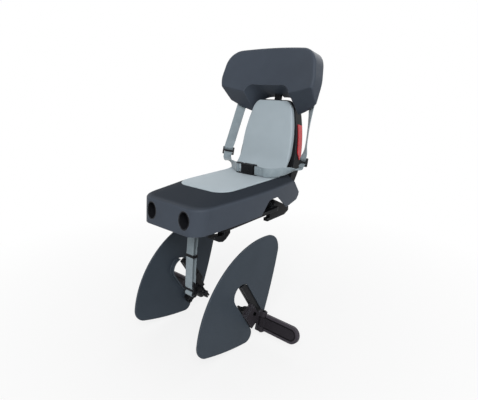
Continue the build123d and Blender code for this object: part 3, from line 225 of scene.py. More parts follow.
def moulded_plastic(name, colours, finish, deck=None, paddle=False):
    """Injection-moulded plastic from a spark-eroded tool: even colour, satin gloss and a fine pebbled grain.

    The real grain is about 0.3 mm; it is drawn coarser so that it shows. Edges look rounded by the edge
    radius, and a painted highlight makes them paler in patches. Above the deck level, where one is given, the
    tool is textured deeper, so that the plastic is matt, and its colour is painted darker there as shade.
    """
    dark, light = colours
    rough, grain, edge = finish
    material, shader = new_material(name, {"IOR": 1.49, "Specular IOR Level": 0.1})
    place = add_node(material, "ShaderNodeTexCoord").outputs["Object"]
    flow = add_node(material, "ShaderNodeTexNoise",
                    {"Vector": place, "Scale": per_metre(FLOW_MARK), "Detail": 3})
    pebble = add_node(material, "ShaderNodeTexNoise",
                      {"Vector": place, "Scale": per_metre(grain), "Detail": 4})
    colour = add_node(material, "ShaderNodeMix",
                      {FACTOR: flow.outputs["Fac"], COLOUR_A: linear(dark), COLOUR_B: linear(light)},
                      data_type="RGBA").outputs[MIXED]
    # Painted shade in the paddle's panel and groove, painted highlight on its rim
    if paddle:
        colour = paddle_painted_light(material, place, colour)
    gloss = add_node(material, "ShaderNodeMapRange",
                     {"Value": pebble.outputs["Fac"], "From Min": 0.3, "From Max": 0.7,
                      "To Min": rough - 0.05, "To Max": rough + 0.06})
    soft_edge = add_node(material, "ShaderNodeBevel", {"Radius": edge * MM}, samples=4).outputs[0]
    bump = add_node(material, "ShaderNodeBump",
                    {"Height": pebble.outputs["Fac"], "Strength": 0.18, "Distance": GRAIN_DEPTH * MM,
                     "Normal": soft_edge})
    # Painted highlight: edges turn paler, in patches, where the rounded normal leans away from the face
    face = add_node(material, "ShaderNodeNewGeometry").outputs["Normal"]
    lean = add_node(material, "ShaderNodeVectorMath", {0: soft_edge, 1: face}, operation="DOT_PRODUCT")
    edge_highlight_mask = add_node(material, "ShaderNodeMapRange",
                       {"Value": lean.outputs["Value"], "From Min": EDGE_FULL, "From Max": EDGE_NONE,
                        "To Min": PADDLE_EDGE_HIGHLIGHT if paddle else EDGE_HIGHLIGHT_STRENGTH, "To Max": 0})
    patch = add_node(material, "ShaderNodeTexNoise",
                     {"Vector": place, "Scale": per_metre(EDGE_HIGHLIGHT_PATCH), "Detail": 3})
    painted_edge_highlight = add_node(material, "ShaderNodeMath", {0: edge_highlight_mask.outputs[0], 1: patch.outputs["Fac"]},
                    operation="MULTIPLY")
    tint = add_node(material, "ShaderNodeMix",
                    {FACTOR: painted_edge_highlight.outputs[0], COLOUR_A: colour, COLOUR_B: linear(EDGE_HIGHLIGHT_COLOUR)},
                    data_type="RGBA").outputs[MIXED]
    roughness = gloss.outputs["Result"]
    # Above the deck level the colour is painted darker as shade; the higher roughness there is the deeper
    # texture's
    if deck is not None:
        height = add_node(material, "ShaderNodeSeparateXYZ", {0: place}).outputs["Z"]
        above = add_node(material, "ShaderNodeMapRange",
                         {"Value": height, "From Min": (deck - DECK_BELOW) * MM,
                          "From Max": (deck + DECK_ABOVE) * MM}).outputs[0]
        tint = add_node(material, "ShaderNodeMix",
                        {FACTOR: above, COLOUR_A: tint, COLOUR_B: linear(DECK_PAINTED_SHADE)},
                        data_type="RGBA").outputs[MIXED]
        roughness = add_node(material, "ShaderNodeMix",
                             {FACTOR: above, VALUE_A: roughness, VALUE_B: DECK_ROUGHNESS}).outputs[0]
    links = material.node_tree.links
    links.new(tint, shader.inputs["Base Color"])
    links.new(roughness, shader.inputs["Roughness"])
    links.new(bump.outputs["Normal"], shader.inputs["Normal"])
    return material


def foam_skin(name):
    """Moulded EVA foam: a matt closed-cell skin with faint clouding and fine pores.

    The pores are drawn coarser than real ones so that they show.
    """
    dark, light = FOAM
    material, shader = new_material(name, {"IOR": 1.45, "Sheen Weight": 0.12, "Sheen Roughness": 0.5})
    place = add_node(material, "ShaderNodeTexCoord").outputs["Object"]
    cloud = add_node(material, "ShaderNodeTexNoise",
                     {"Vector": place, "Scale": per_metre(FOAM_CLOUD), "Detail": 4})
    pores = add_node(material, "ShaderNodeTexVoronoi", {"Vector": place, "Scale": per_metre(FOAM_PORE)})
    colour = add_node(material, "ShaderNodeMix",
                      {FACTOR: cloud.outputs["Fac"], COLOUR_A: linear(dark), COLOUR_B: linear(light)},
                      data_type="RGBA")
    gloss = add_node(material, "ShaderNodeMapRange",
                     {"Value": cloud.outputs["Fac"], "To Min": 0.62, "To Max": 0.78})
    bump = add_node(material, "ShaderNodeBump",
                    {"Height": pores.outputs["Distance"], "Strength": 0.12,
                     "Distance": FOAM_PORE_DEPTH * MM})
    links = material.node_tree.links
    links.new(colour.outputs[MIXED], shader.inputs["Base Color"])
    links.new(gloss.outputs["Result"], shader.inputs["Roughness"])
    links.new(bump.outputs["Normal"], shader.inputs["Normal"])
    return material


def woven_webbing(name):
    """Woven polyester webbing: cross ribs and lengthwise cords that catch the light in a fine check.

    The ribs are about 1.1 mm apart on real webbing; they are drawn wider so that they show.
    """
    dark, light = WEB
    material, shader = new_material(name, {"IOR": 1.5, "Sheen Weight": 0.25, "Sheen Roughness": 0.4,
                                           "Roughness": 0.75})
    along = add_node(material, "ShaderNodeUVMap").outputs["UV"]
    split = add_node(material, "ShaderNodeSeparateXYZ", {0: along})
    rib_turn = add_node(material, "ShaderNodeMath",
                        {0: split.outputs["Y"], 1: 2 * pi / (RIB_SPACING * MM)}, operation="MULTIPLY")
    ribs = add_node(material, "ShaderNodeMath", {0: rib_turn.outputs[0]}, operation="SINE")
    cord_turn = add_node(material, "ShaderNodeMath",
                         {0: split.outputs["X"], 1: 2 * pi / (CORD_SPACING * MM)}, operation="MULTIPLY")
    cords = add_node(material, "ShaderNodeMath", {0: cord_turn.outputs[0]}, operation="COSINE")
    weave = add_node(material, "ShaderNodeMath", {0: ribs.outputs[0], 1: cords.outputs[0]},
                     operation="MULTIPLY")
    height = add_node(material, "ShaderNodeMapRange",
                      {"Value": weave.outputs[0], "From Min": -1, "From Max": 1})
    patch = add_node(material, "ShaderNodeTexNoise",
                     {"Vector": along, "Scale": per_metre(WEB_PATCH), "Detail": 3})
    mottle = add_node(material, "ShaderNodeMath", {0: height.outputs[0], 1: patch.outputs["Fac"]},
                      operation="MULTIPLY")
    shade = add_node(material, "ShaderNodeMath", {0: mottle.outputs[0], 1: WEAVE_CONTRAST},
                     operation="MULTIPLY", use_clamp=True)
    colour = add_node(material, "ShaderNodeMix",
                      {FACTOR: shade.outputs[0], COLOUR_A: linear(dark), COLOUR_B: linear(light)},
                      data_type="RGBA")
    bump = add_node(material, "ShaderNodeBump",
                    {"Height": height.outputs[0], "Strength": 0.5, "Distance": WEAVE_DEPTH * MM})
    links = material.node_tree.links
    links.new(colour.outputs[MIXED], shader.inputs["Base Color"])
    links.new(bump.outputs["Normal"], shader.inputs["Normal"])
    return material


def twisted_thread(name):
    """Twisted polyester sewing thread: pale and matt, banded by its ply.

    A diagonal wave's bands are 0.36 of its size apart, so these are about 1.7 mm apart, drawn coarse so that
    they show.
    """
    dark, light = THREAD
    material, shader = new_material(name, {"IOR": 1.5, "Roughness": 0.7, "Sheen Weight": 0.2})
    place = add_node(material, "ShaderNodeTexCoord").outputs["Object"]
    ply = add_node(material, "ShaderNodeTexWave",
                   {"Vector": place, "Scale": per_metre(PLY_WAVE), "Distortion": 1.0},
                   bands_direction="DIAGONAL")
    colour = add_node(material, "ShaderNodeMix",
                      {FACTOR: ply.outputs["Fac"], COLOUR_A: linear(dark), COLOUR_B: linear(light)},
                      data_type="RGBA")
    material.node_tree.links.new(colour.outputs[MIXED], shader.inputs["Base Color"])
    return material


def prism_lens(name):
    """Moulded red acrylic reflector: glossy skin over corner-cube cells, lightest at their middles."""
    dark, light = LENS
    material, shader = new_material(name, {"IOR": 1.49, "Roughness": 0.12, "Coat Weight": 0.2,
                                           "Coat Roughness": 0.05})
    place = add_node(material, "ShaderNodeTexCoord").outputs["Object"]
    cells = add_node(material, "ShaderNodeTexVoronoi",
                     {"Vector": place, "Scale": per_metre(PRISM_CELL), "Randomness": 0.15})
    colour = add_node(material, "ShaderNodeMix",
                      {FACTOR: cells.outputs["Distance"], COLOUR_A: linear(light), COLOUR_B: linear(dark)},
                      data_type="RGBA")
    bump = add_node(material, "ShaderNodeBump",
                    {"Height": cells.outputs["Distance"], "Strength": 0.4, "Distance": PRISM_DEPTH * MM})
    links = material.node_tree.links
    links.new(colour.outputs[MIXED], shader.inputs["Base Color"])
    links.new(bump.outputs["Normal"], shader.inputs["Normal"])
    return material


def plated_steel(name, colours):
    """Plated or blackened steel: a metal with cloudy gloss."""
    dark, light = colours
    material, shader = new_material(name, {"Metallic": 1.0})
    place = add_node(material, "ShaderNodeTexCoord").outputs["Object"]
    cloud = add_node(material, "ShaderNodeTexNoise",
                     {"Vector": place, "Scale": per_metre(PLATING_CLOUD), "Detail": 4})
    colour = add_node(material, "ShaderNodeMix",
                      {FACTOR: cloud.outputs["Fac"], COLOUR_A: linear(dark), COLOUR_B: linear(light)},
                      data_type="RGBA")
    gloss = add_node(material, "ShaderNodeMapRange",
                     {"Value": cloud.outputs["Fac"], "To Min": 0.22, "To Max": 0.42})
    links = material.node_tree.links
    links.new(colour.outputs[MIXED], shader.inputs["Base Color"])
    links.new(gloss.outputs["Result"], shader.inputs["Roughness"])
    return material


slate = moulded_plastic("moulded_slate_polypropylene", SLATE, SLATE_FINISH)
# The base's plastic, with painted shade darkening its deck
base_slate = moulded_plastic("moulded_slate_polypropylene_grained_deck", SLATE, SLATE_FINISH, deck=DECK_LEVEL)
guard_slate = moulded_plastic("moulded_dark_slate_polypropylene", GUARD, SLATE_FINISH)
nylon = moulded_plastic("moulded_black_nylon", NYLON, NYLON_FINISH)
footrest_plastic = moulded_plastic("grained_footrest_polypropylene", FOOTREST, FOOTREST_FINISH)
# The paddle's plastic carries painted shade in its panel and groove and a painted highlight on its rim
paddle_plastic = moulded_plastic("grained_paddle_polypropylene", FOOTREST, FOOTREST_FINISH, paddle=True)
foam = foam_skin("moulded_grey_foam")
webbing_cloth = woven_webbing("woven_grey_polyester")
lens = prism_lens("moulded_red_acrylic")
zinc = plated_steel("zinc_plated_steel", ZINC)
oxide = plated_steel("black_oxide_steel", OXIDE)
thread = twisted_thread("twisted_polyester_thread")
finishes = {"slate_shell": slate, "black_plastic": nylon, "footrest_plastic": footrest_plastic,
            "pad_foam": foam, "webbing": webbing_cloth, "red_lens": lens, "steel": zinc}

DARK_SCREWS = ("rail_screws", "stay_screws", "lock_screw", "clamp_bolt", "hinge_pin", "lever_pin")
for subpart in frame["record"]["subparts"]:
    solid = nodes[subpart["node"]]
    solid.data.materials.clear()
    dark_screw = solid.name.startswith(DARK_SCREWS)
    solid.data.materials.append(oxide if dark_screw else finishes[subpart["material_slot"]])
nodes["seat_base"].data.materials[0] = base_slate
for word in ("left", "right"):
    nodes[f"wheel_guard_{word}"].data.materials[0] = guard_slate
    nodes[f"footrest_bracket_{word}"].data.materials[0] = footrest_plastic
    nodes[f"footrest_{word}"].data.materials[0] = paddle_plastic


def back(x, behind, high):
    """A point given in millimetres on the reclined back: across, behind its front face, and up it."""
    return Vector((x * MM, BACK_Y + (behind * cos(RECLINE) + high * sin(RECLINE)) * MM,
                   SEAT_TOP + (high * cos(RECLINE) - behind * sin(RECLINE)) * MM))


def point(x, y, z):
    """A point given in millimetres."""
    return Vector((x * MM, y * MM, z * MM))


def smooth_run(points, steps):
    """Points along a smooth line through the given ones; a handle is a sixth of the chord past its point."""
    ends = [2 * points[0] - points[1], *points, 2 * points[-1] - points[-2]]
    run = [points[0].copy()]
    for before, start, end, after in zip(ends, ends[1:], ends[2:], ends[3:]):
        leaving = start + (end - before) / 6
        arriving = end - (after - start) / 6
        run += interpolate_bezier(start, leaving, arriving, end, steps + 1)[1:]
    return run


def mirrored(points):
    """The same points on the seat's other side."""
    return [Vector((-p.x, p.y, p.z)) for p in points]


SHADING_ANGLE = radians(35)


def pick(piece):
    """Makes a piece the only one selected and the active one."""
    bpy.ops.object.select_all(action="DESELECT")
    piece.select_set(True)
    bpy.context.view_layer.objects.active = piece


def finish_piece(piece, name, material):
    """Names a finished piece, gives it its finish and smooths its shading."""
    piece.name = name
    piece.data.name = name
    piece.data.materials.clear()
    piece.data.materials.append(material)
    pick(piece)
    bpy.ops.object.shade_smooth_by_angle(angle=SHADING_ANGLE)


def apply_modifiers(piece):
    """Applies a piece's modifiers in their order."""
    pick(piece)
    for modifier in list(piece.modifiers):
        bpy.ops.object.modifier_apply(modifier=modifier.name)


# Webbing: its thickness and rounded edge in mm, its faces across and between two points of a route
WEB_THICK = 1.7
WEB_EDGE = 0.45 * WEB_THICK
WEB_EDGE_FACES = 2
WEB_COLUMNS = 8
WEB_STEPS = 8
FLATTEST_CUP = 0.01


def lay_webbing(name, route, across, widths, cups):
    """A flat strap along a route: each point has its width direction, its width and the angle of its cup.

    UVs are metres of webbing.
    """
    middle = smooth_run(route, WEB_STEPS)
    sideways = smooth_run(across, WEB_STEPS)
    sections = smooth_run([Vector((width * MM, cup, 0)) for width, cup in zip(widths, cups)], WEB_STEPS)
    rows = len(middle) - 1
    bpy.ops.object.select_all(action="DESELECT")
    bpy.ops.mesh.primitive_grid_add(x_subdivisions=WEB_COLUMNS, y_subdivisions=rows, size=1)
    strap = bpy.context.object
    travelled = [0]
    for start, end in zip(middle, middle[1:]):
        travelled.append(travelled[-1] + (end - start).length)
    metres = []
    for row in range(rows + 1):
        ahead = (middle[min(row + 1, rows)] - middle[max(row - 1, 0)]).normalized()
        aside = (sideways[row] - sideways[row].project(ahead)).normalized()
        facing = ahead.cross(aside)
        width = sections[row].x
        cup = max(sections[row].y, FLATTEST_CUP)
        for column in range(WEB_COLUMNS + 1):
            share = column / WEB_COLUMNS - 0.5
            turned = cup * share
            vertex = strap.data.vertices[row * (WEB_COLUMNS + 1) + column]
            vertex.co = middle[row] + (aside * sin(turned) + facing * (1 - cos(turned))) * width / cup
            metres.append((share * width, travelled[row]))
    for loop in strap.data.loops:
        strap.data.uv_layers[0].data[loop.index].uv = metres[loop.vertex_index]
    thickness = strap.modifiers.new("thickness", "SOLIDIFY")
    thickness.thickness = WEB_THICK * MM
    thickness.offset = 0
    edge = strap.modifiers.new("edge", "BEVEL")
    edge.width = WEB_EDGE * MM
    edge.segments = WEB_EDGE_FACES
    apply_modifiers(strap)
    finish_piece(strap, name, webbing_cloth)
    return strap


# Harness webbing, one run on each side: headrest, adjuster, lap, buckle; in mm
STRAP_OUT = 124.34
STRAP_BEHIND = 0.13
STRAP_TOP = 246
STRAP_BEND = 206
STRAP_FOOT = 60.9
STRAP_WIDTH = 28
STRAP_TILT = radians(27.88)
ADJUSTER_OUT = 139
ADJUSTER_BEHIND = -13.9
ADJUSTER_LEVEL = 48.6
LAP_WIDTH = 24
LAP_LEVEL = 115.6
BUCKLE_Y = 70
UPRIGHT = Vector((0, 0, 1))
SIDEWAYS = Vector((1, 0, 0))

# The shoulder run: height up the back, distance out of the strap's plane and twist in degrees, down to the
# adjuster's three bars; there it narrows from the strap's width to the belt's
SHOULDER = (
    (STRAP_TOP, 0, 0), (225, 0, 0), (205, 0, 3), (180, 0, 13), (150, 0, 22), (115, 0, 25), (90, 0, 22),
    (76, -0.6, 12), (ADJUSTER_LEVEL + 16, -2.6, 0), (ADJUSTER_LEVEL + 9.5, -3.6, 0),
    (ADJUSTER_LEVEL + 4.75, 0, 0), (ADJUSTER_LEVEL, 3.6, 0), (ADJUSTER_LEVEL - 4.75, 0, 0),
    (ADJUSTER_LEVEL - 9.5, -3.8, 0), (ADJUSTER_LEVEL - 13.5, -5.0, 0),
)
NARROWING = [27, 26, 25, LAP_WIDTH]

# Each belt folds flat below the adjuster and turns on edge on its way to the buckle: place, width direction,
# cup; the left belt hangs in a round bow and the right one is drawn straight
LEFT_LAP = (
    ((136.6, 141.6, 122.6), (0.8, -0.6, 0.05), 0.2), ((132.2, 137.4, 119.4), (0.7, -0.72, 0.05), 0.5),
    ((124, 130.2, 117.6), (0.62, -0.7, 0.35), 0.9), ((114, 120, 116.2), (0.35, -0.45, 0.82), 0.9),
    ((105, 106, 115.6), (0.1, -0.15, 0.98), 0.6), ((98, 88, 115.4), (0, 0, 1), 0.4),
    ((88, 71, 115.2), (0, 0, 1), 0.3), ((72, 63, 115.4), (0, 0, 1), 0.1),
)
RIGHT_LAP = (
    ((136.6, 141.6, 122.6), (0.75, -0.65, 0.05), 0.2), ((132, 137.6, 119.4), (0.62, -0.78, 0), 0.5),
    ((122, 129.8, 117.8), (0.57, -0.8, 0.1), 1.0), ((107, 119.2, 116.6), (0.52, -0.72, 0.45), 1.3),
    ((92, 108.5, 115.8), (0.32, -0.45, 0.83), 1.2), ((76, 97.5, 115.4), (0.1, -0.15, 0.98), 0.8),
    ((60, 87.5, 115.4), (0, 0, 1), 0.3),
)

# The belt's end round a buckle bar: distance from the bar along the belt, and out of the belt's middle
BUCKLE_TURNS = (
    (26, -0.9), (14, -1.9), (6, -3.0), (0, -3.3), (-3.3, 0), (0, 3.3), (6, 3.0), (14, 1.5), (25, 1.0),
)

# Both belts: side, sign of its x, x of its buckle bar, its lap
BELTS = (("left", 1, 35.5, LEFT_LAP), ("right", -1, -29, RIGHT_LAP))

strap_outward = Vector((sin(STRAP_TILT), cos(STRAP_TILT) * cos(RECLINE), -cos(STRAP_TILT) * sin(RECLINE)))


def strap_across(tilt):
    """The shoulder strap's width direction, turned this far out of the seat's width."""
    return Vector((cos(tilt), -sin(tilt) * cos(RECLINE), sin(tilt) * sin(RECLINE)))


def on_strap(high, outward=0.0):
    """A point on the shoulder strap's line, up the back and out from the strap's plane."""
    share = min(max((STRAP_BEND - high) / (STRAP_BEND - STRAP_FOOT), 0), 1)
    across = STRAP_OUT + share * (ADJUSTER_OUT - STRAP_OUT)
    behind = STRAP_BEHIND + share * (ADJUSTER_BEHIND - STRAP_BEHIND)
    return back(across, behind, high) + strap_outward * outward * MM


def buckle_loop(bar_x, away):
    """The end of a lap belt folded round an upright bar of the buckle and sewn back on itself."""
    bar = Vector((bar_x, BUCKLE_Y, 0))
    along = (Vector((*away, 0)) - bar).normalized()
    aside = Vector((-along.y, along.x, 0)) * (1 if along.x > 0 else -1)
    return [point(*(bar + along * far + aside * out).xy, LAP_LEVEL) for far, out in BUCKLE_TURNS]


def harness_run(name, side, bar_x, lap):
    """One side's webbing from behind the headrest, through the adjuster, across the lap to the buckle."""
    route = [on_strap(high, outward) for high, outward, _ in SHOULDER]
    across = [strap_across(STRAP_TILT + radians(twist)) for _, _, twist in SHOULDER]
    widths = [STRAP_WIDTH] * (len(SHOULDER) - len(NARROWING)) + NARROWING
    cups = [0] * len(SHOULDER)
    for place, turn, cup in lap:
        route.append(point(*place))
        across.append(Vector(turn))
        widths.append(LAP_WIDTH)
        cups.append(cup)
    last_place = lap[-1][0]
    end = buckle_loop(bar_x * side, last_place[:2])
    route += end
    across += [UPRIGHT] * len(end)
    widths += [LAP_WIDTH] * len(end)
    cups += [0] * len(end)
    if side < 0:
        route = mirrored(route)
        across = mirrored(across)
    return lay_webbing(name, route, across, widths, cups)


for word, side, bar_x, lap in BELTS:
    run = harness_run(f"harness_webbing_{word}", side, bar_x, lap)
    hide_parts(f"shoulder_strap_{word}", f"lap_belt_{word}")
    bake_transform(run)

# Box stitching: one stitch of thread is modelled, and its copies are set along the seam lines; in mm
STITCH_LENGTH = 2.4
STITCH_PITCH = 3.2
THREAD_THICK = 0.7
SEAM_LENGTH = 12
SEAM_HEIGHT = 15
# The seam's two ends on the belt: distance from the buckle bar, and out to the belt's face
SEAM_START = (11, 3.25)
SEAM_END = (23, 2.05)


def sew_box(name, middle, along, upward):
    """A sewn rectangle with a cross in it, about a middle point on the webbing's face."""
    reach = SEAM_LENGTH / 2
    rise = SEAM_HEIGHT / 2
    corners = [(-reach, -rise), (reach, -rise), (reach, rise), (-reach, rise)]
    seams = list(zip(corners, corners[1:] + corners[:1]))
    seams += [(corners[0], corners[2]), (corners[1], corners[3])]
    stitch_size = (STITCH_LENGTH / 2 * MM, THREAD_THICK / 2 * MM, THREAD_THICK / 2 * MM)
    stitches = []
    for (x0, y0), (x1, y1) in seams:
        lay = along * (x1 - x0) + upward * (y1 - y0)
        count = max(int(lay.length / STITCH_PITCH), 1)
        turn = lay.to_track_quat("X", "Z").to_euler()
        for step in range(count):
            share = (step + 0.5) / count
            place = middle + (along * (x0 + share * (x1 - x0)) + upward * (y0 + share * (y1 - y0))) * MM
            bpy.ops.object.select_all(action="DESELECT")
            bpy.ops.mesh.primitive_ico_sphere_add(subdivisions=1, radius=1, location=place, rotation=turn,
                                                  scale=stitch_size)
            stitches.append(bpy.context.object)
    bpy.ops.object.select_all(action="DESELECT")
    for stitch in stitches:
        stitch.select_set(True)
    bpy.context.view_layer.objects.active = stitches[0]
    bpy.ops.object.join()
    bpy.ops.object.transform_apply(location=True, rotation=True, scale=True)
    seam = bpy.context.object
    finish_piece(seam, name, thread)
    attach(seam, "seat")


for word, side, bar_x, lap in BELTS:
    bar = Vector((bar_x, BUCKLE_Y, 0))
    last_x, last_y, _ = lap[-1][0]
    along = (Vector((last_x * side, last_y, 0)) - bar).normalized()
    aside = Vector((-along.y, along.x, 0)) * side
    start, end = [bar + along * far - aside * out for far, out in (SEAM_START, SEAM_END)]
    middle = (start + end) / 2
    seam_middle = point(middle.x, middle.y, LAP_LEVEL)
    sew_box(f"belt_stitching_{word}", seam_middle, (end - start).normalized(), UPRIGHT)

# Safety strap: a sewn loop from the plate's bar to the ladder lock; in mm
SAFETY_LEAN = radians(7)
SAFETY_BAR = point(0, -135, 8)
SAFETY_WIDTH = 25
SAFETY_LENGTH = 172
TURN = 4.7
SLANT = TURN * 0.7
BAR_SLANT = TURN * 0.75
safety_down = Vector((0, -sin(SAFETY_LEAN), -cos(SAFETY_LEAN)))
safety_ahead = Vector((0, -cos(SAFETY_LEAN), sin(SAFETY_LEAN)))

# Down the strap from its bar, and ahead of its middle: the sewn end, round the bar, down the front, round the
# lock's upper bar and up the rear
SAFETY_ROUTE = (
    (62, -TURN - 1.6), (40, -TURN - 1.8), (12, -TURN - 1.2), (2, -TURN - 0.4),
    (-BAR_SLANT, -BAR_SLANT), (-TURN, 0), (-SLANT, SLANT),
    (2, TURN), (40, TURN + 1.6), (90, TURN + 2.2), (140, TURN + 1.0), (SAFETY_LENGTH - 4, TURN),
    (SAFETY_LENGTH + SLANT, SLANT), (SAFETY_LENGTH + TURN, 0), (SAFETY_LENGTH + SLANT, -SLANT),
    (SAFETY_LENGTH - 4, -TURN), (130, -TURN - 0.6), (80, -TURN - 0.3), (40, -TURN), (12, -TURN + 0.4),
)

# Its free end, folded round the ladder lock's lowest bar
LOCK_BAR = SAFETY_LENGTH + 19.6
TAIL_WIDTH = SAFETY_WIDTH - 0.6
TAIL_ROUTE = (
    (140, -TURN - 2.6), (160, -TURN - 2.8), (178, -TURN - 1.6), (LOCK_BAR - 2, -TURN - 0.6),
    (LOCK_BAR + SLANT, -SLANT), (LOCK_BAR + TURN, 0), (LOCK_BAR + SLANT, SLANT),
    (LOCK_BAR - 1, TURN), (LOCK_BAR - 4.5, TURN - 1.4), (LOCK_BAR - 6.4, 0.4),
)


def safety_run(name, route, width):
    """Flat webbing along a route that is given down the safety strap and ahead of its middle."""
    places = [SAFETY_BAR + (safety_down * low + safety_ahead * ahead) * MM for low, ahead in route]
    count = len(places)
    return lay_webbing(name, places, [SIDEWAYS] * count, [width] * count, [0] * count)


safety = safety_run("safety_strap_webbing", SAFETY_ROUTE, SAFETY_WIDTH)
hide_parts("safety_strap")
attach(safety, "seat")
tail = safety_run("safety_strap_tail", TAIL_ROUTE, TAIL_WIDTH)
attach(tail, "seat")

# Foam pad: one moulding over the seat and up the back, set into the deck; in mm
PAD_HALF = 88
PAD_FRONT = -119
PAD_CORNER = 44
PAD_FLOOR = 89.3
PAD_PROUD = 14
PAD_GAP = 0.4
PAD_CROWN = 0.8
PAD_ROUNDING = 2
# Columns as shares of the half width, and the share of the full rise at the three outermost rows and columns
PAD_ACROSS = (-1, -0.99, -0.965, -0.92, -0.75, -0.5, -0.25, 0, 0.25, 0.5, 0.75, 0.92, 0.965, 0.99, 1)
PAD_RIM = (0.72, 0.9, 0.975)
# Rows on the seat (y and z of the top), in the bend (y and z of the top, then of the underside) and up the
# back (height up it and half width)
SEAT_ROWS = (
    (-119, 97.7), (-118, 97.8), (-115.5, 98), (-110, 98.5), (-104, 99.1), (-94, 99.7), (-85, 100),
    (-50, 100), (-10, 100), (30, 100), (70, 100), (92, 100),
)
BEND_ROWS = ((113.1, 103.7, 116, 97.5), (131.8, 114.5, 138, 108), (144.5, 129.1, 151, 126))
BACK_ROWS = (
    (56, 88), (75, 88), (100, 87.5), (125, 85.2), (150, 80.3), (170, 75.3), (185, 71.2), (195, 68),
    (203, 62.8), (208, 57.5), (211, 52.6), (212.6, 48.5), (213, 45),
)
pad_tops = [point(0, y, z) for y, z in SEAT_ROWS] + [point(0, y, z) for y, z, _, _ in BEND_ROWS]
pad_tops += [back(0, -PAD_PROUD, high) for high, _ in BACK_ROWS]
pad_lows = [point(0, y, PAD_FLOOR) for y, _ in SEAT_ROWS] + [point(0, y, z) for _, _, y, z in BEND_ROWS]
pad_lows += [back(0, -PAD_GAP, high) for high, _ in BACK_ROWS]
pad_halves = []
for y, _ in SEAT_ROWS:
    into_corner = max(PAD_FRONT + PAD_CORNER - y, 0)
    pad_halves.append(PAD_HALF - PAD_CORNER + sqrt(PAD_CORNER ** 2 - into_corner ** 2))
pad_halves += [PAD_HALF] * len(BEND_ROWS) + [half for _, half in BACK_ROWS]

columns = len(PAD_ACROSS)
rows = len(pad_tops)
bpy.ops.object.select_all(action="DESELECT")
bpy.ops.mesh.primitive_grid_add(x_subdivisions=columns - 1, y_subdivisions=rows - 1, size=1)
pad = bpy.context.object
grid_place = pad.data.attributes.new("grid_place", "INT", "POINT")
for index, vertex in enumerate(pad.data.vertices):
    row, column = divmod(index, columns)
    grid_place.data[index].value = index
    vertex.co = pad_lows[row] + Vector((PAD_ACROSS[column] * pad_halves[row] * MM, 0, 0))
bpy.ops.object.mode_set(mode="EDIT")
bpy.ops.mesh.select_all(action="SELECT")
bpy.ops.mesh.extrude_region_move()
bpy.ops.object.mode_set(mode="OBJECT")
grid_place = pad.data.attributes["grid_place"]
for vertex in pad.data.vertices:
    if vertex.select:
        row, column = divmod(grid_place.data[vertex.index].value, columns)
        from_rim = min(column, columns - 1 - column, row, rows - 1 - row)
        rim = PAD_RIM[from_rim] if from_rim < len(PAD_RIM) else 1
        rise = pad_tops[row] - pad_lows[row]
        crown = rise.normalized() * PAD_CROWN * (1 - PAD_ACROSS[column] ** 2) * MM
        vertex.co += rise * rim + crown
pad.data.attributes.remove(grid_place)
bpy.ops.object.mode_set(mode="EDIT")
bpy.ops.mesh.select_all(action="SELECT")
bpy.ops.mesh.normals_make_consistent(inside=False)
bpy.ops.object.mode_set(mode="OBJECT")
rounding = pad.modifiers.new("rounding", "SUBSURF")
rounding.levels = PAD_ROUNDING
rounding.render_levels = PAD_ROUNDING
apply_modifiers(pad)
finish_piece(pad, "foam_pad", foam)
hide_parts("pad")
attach(pad, "seat")

# Camera
camera = bpy.data.objects.new("camera", bpy.data.cameras.new("camera"))
camera.location = CAMERA_PLACE
camera.rotation_euler = CAMERA_TURN
camera.data.lens = CAMERA_LENS
camera.data.sensor_width = CAMERA_SENSOR
camera.data.clip_start = CAMERA_NEAR
bpy.context.scene.collection.objects.link(camera)
bpy.context.scene.camera = camera

# Floor, in metres: it runs out to the white of the backdrop and keeps the shadow near the object
FLOOR_SIZE = 12
FLOOR_DROP = 1.5 * MM
FADE_START = 0.3
FADE_END = 1.1
FADE_LEAST = 0.8
bpy.ops.object.select_all(action="DESELECT")
bpy.ops.mesh.primitive_plane_add(size=FLOOR_SIZE, location=(0, 0, cad_box[0][2] - FLOOR_DROP))
floor = bpy.context.object
floor.name = "floor"
floor_paint, floor_shader = new_material("matt_floor_paint", {"Roughness": 0.9, "Specular IOR Level": 0.1,
                                                              "Base Color": linear(FLOOR_COLOUR)})
floor.data.materials.append(floor_paint)


def rays_that_see(material):
    """1 for the rays that show a backdrop: straight from the camera, mirrored, or through something clear."""
    path = add_node(material, "ShaderNodeLightPath").outputs
    seen = add_node(material, "ShaderNodeMath", {0: path["Is Camera Ray"], 1: path["Is Glossy Ray"]},
                    operation="MAXIMUM")
    return add_node(material, "ShaderNodeMath", {0: seen.outputs[0], 1: path["Is Transmission Ray"]},
                    operation="MAXIMUM").outputs[0]


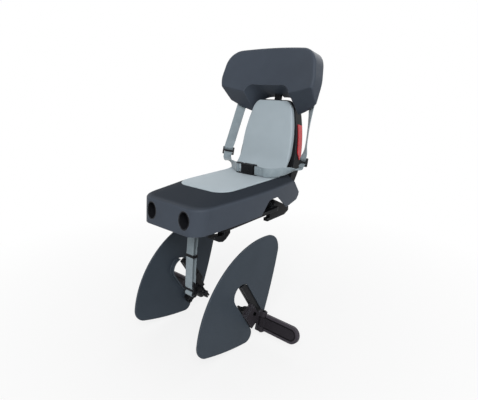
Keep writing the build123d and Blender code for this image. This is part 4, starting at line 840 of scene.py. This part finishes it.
floor_place = add_node(floor_paint, "ShaderNodeTexCoord").outputs["Object"]
away = add_node(floor_paint, "ShaderNodeVectorMath", {0: floor_place}, operation="LENGTH")
fade = add_node(floor_paint, "ShaderNodeMapRange",
                {"Value": away.outputs["Value"], "From Min": FADE_START, "From Max": FADE_END,
                 "To Min": FADE_LEAST, "To Max": 1.0})
whiteness = add_node(floor_paint, "ShaderNodeMath", {0: fade.outputs[0], 1: rays_that_see(floor_paint)},
                     operation="MULTIPLY")
white = add_node(floor_paint, "ShaderNodeEmission", {"Color": WHITE, "Strength": 1.0})
floor_mix = add_node(floor_paint, "ShaderNodeMixShader",
                     {0: whiteness.outputs[0], 1: floor_shader.outputs[0], 2: white.outputs[0]})
floor_surface = floor_paint.node_tree.nodes["Material Output"].inputs["Surface"]
floor_paint.node_tree.links.new(floor_mix.outputs[0], floor_surface)

# Soft lamps and the point they face: name, place and size in metres, power in watts
LAMP_AIM = Vector((0, 0, 0))
LAMPS = (
    ("key", (1.75, -2.0, 1.9), 1.8, 90),
    ("left", (-2.6, 1.0, 1.3), 2.4, 26),
    ("right", (2.8, -0.4, 1.0), 2.4, 10),
    ("top", (0.0, 0.6, 3.0), 3.0, 14),
    ("rear", (-0.3, 2.8, 1.6), 2.4, 29),
)
for name, place, size, power in LAMPS:
    lamp = bpy.data.objects.new(name, bpy.data.lights.new(name, "AREA"))
    lamp.data.size = size
    lamp.data.energy = power
    lamp.location = place
    lamp.rotation_euler = (LAMP_AIM - Vector(place)).to_track_quat("-Z", "Y").to_euler()
    bpy.context.scene.collection.objects.link(lamp)

# World: a low even light on the object, and white where it is seen
WORLD_LIGHT = 0.25
WORLD_SEEN = 1.0
world = bpy.data.worlds.new("studio")
bpy.context.scene.world = world
world.use_nodes = True
sky = world.node_tree.nodes["Background"]
level = add_node(world, "ShaderNodeMapRange",
                 {"Value": rays_that_see(world), "To Min": WORLD_LIGHT, "To Max": WORLD_SEEN})
world.node_tree.links.new(level.outputs["Result"], sky.inputs["Strength"])
sky.inputs["Color"].default_value = WHITE
bpy.context.scene.view_settings.view_transform = "Standard"
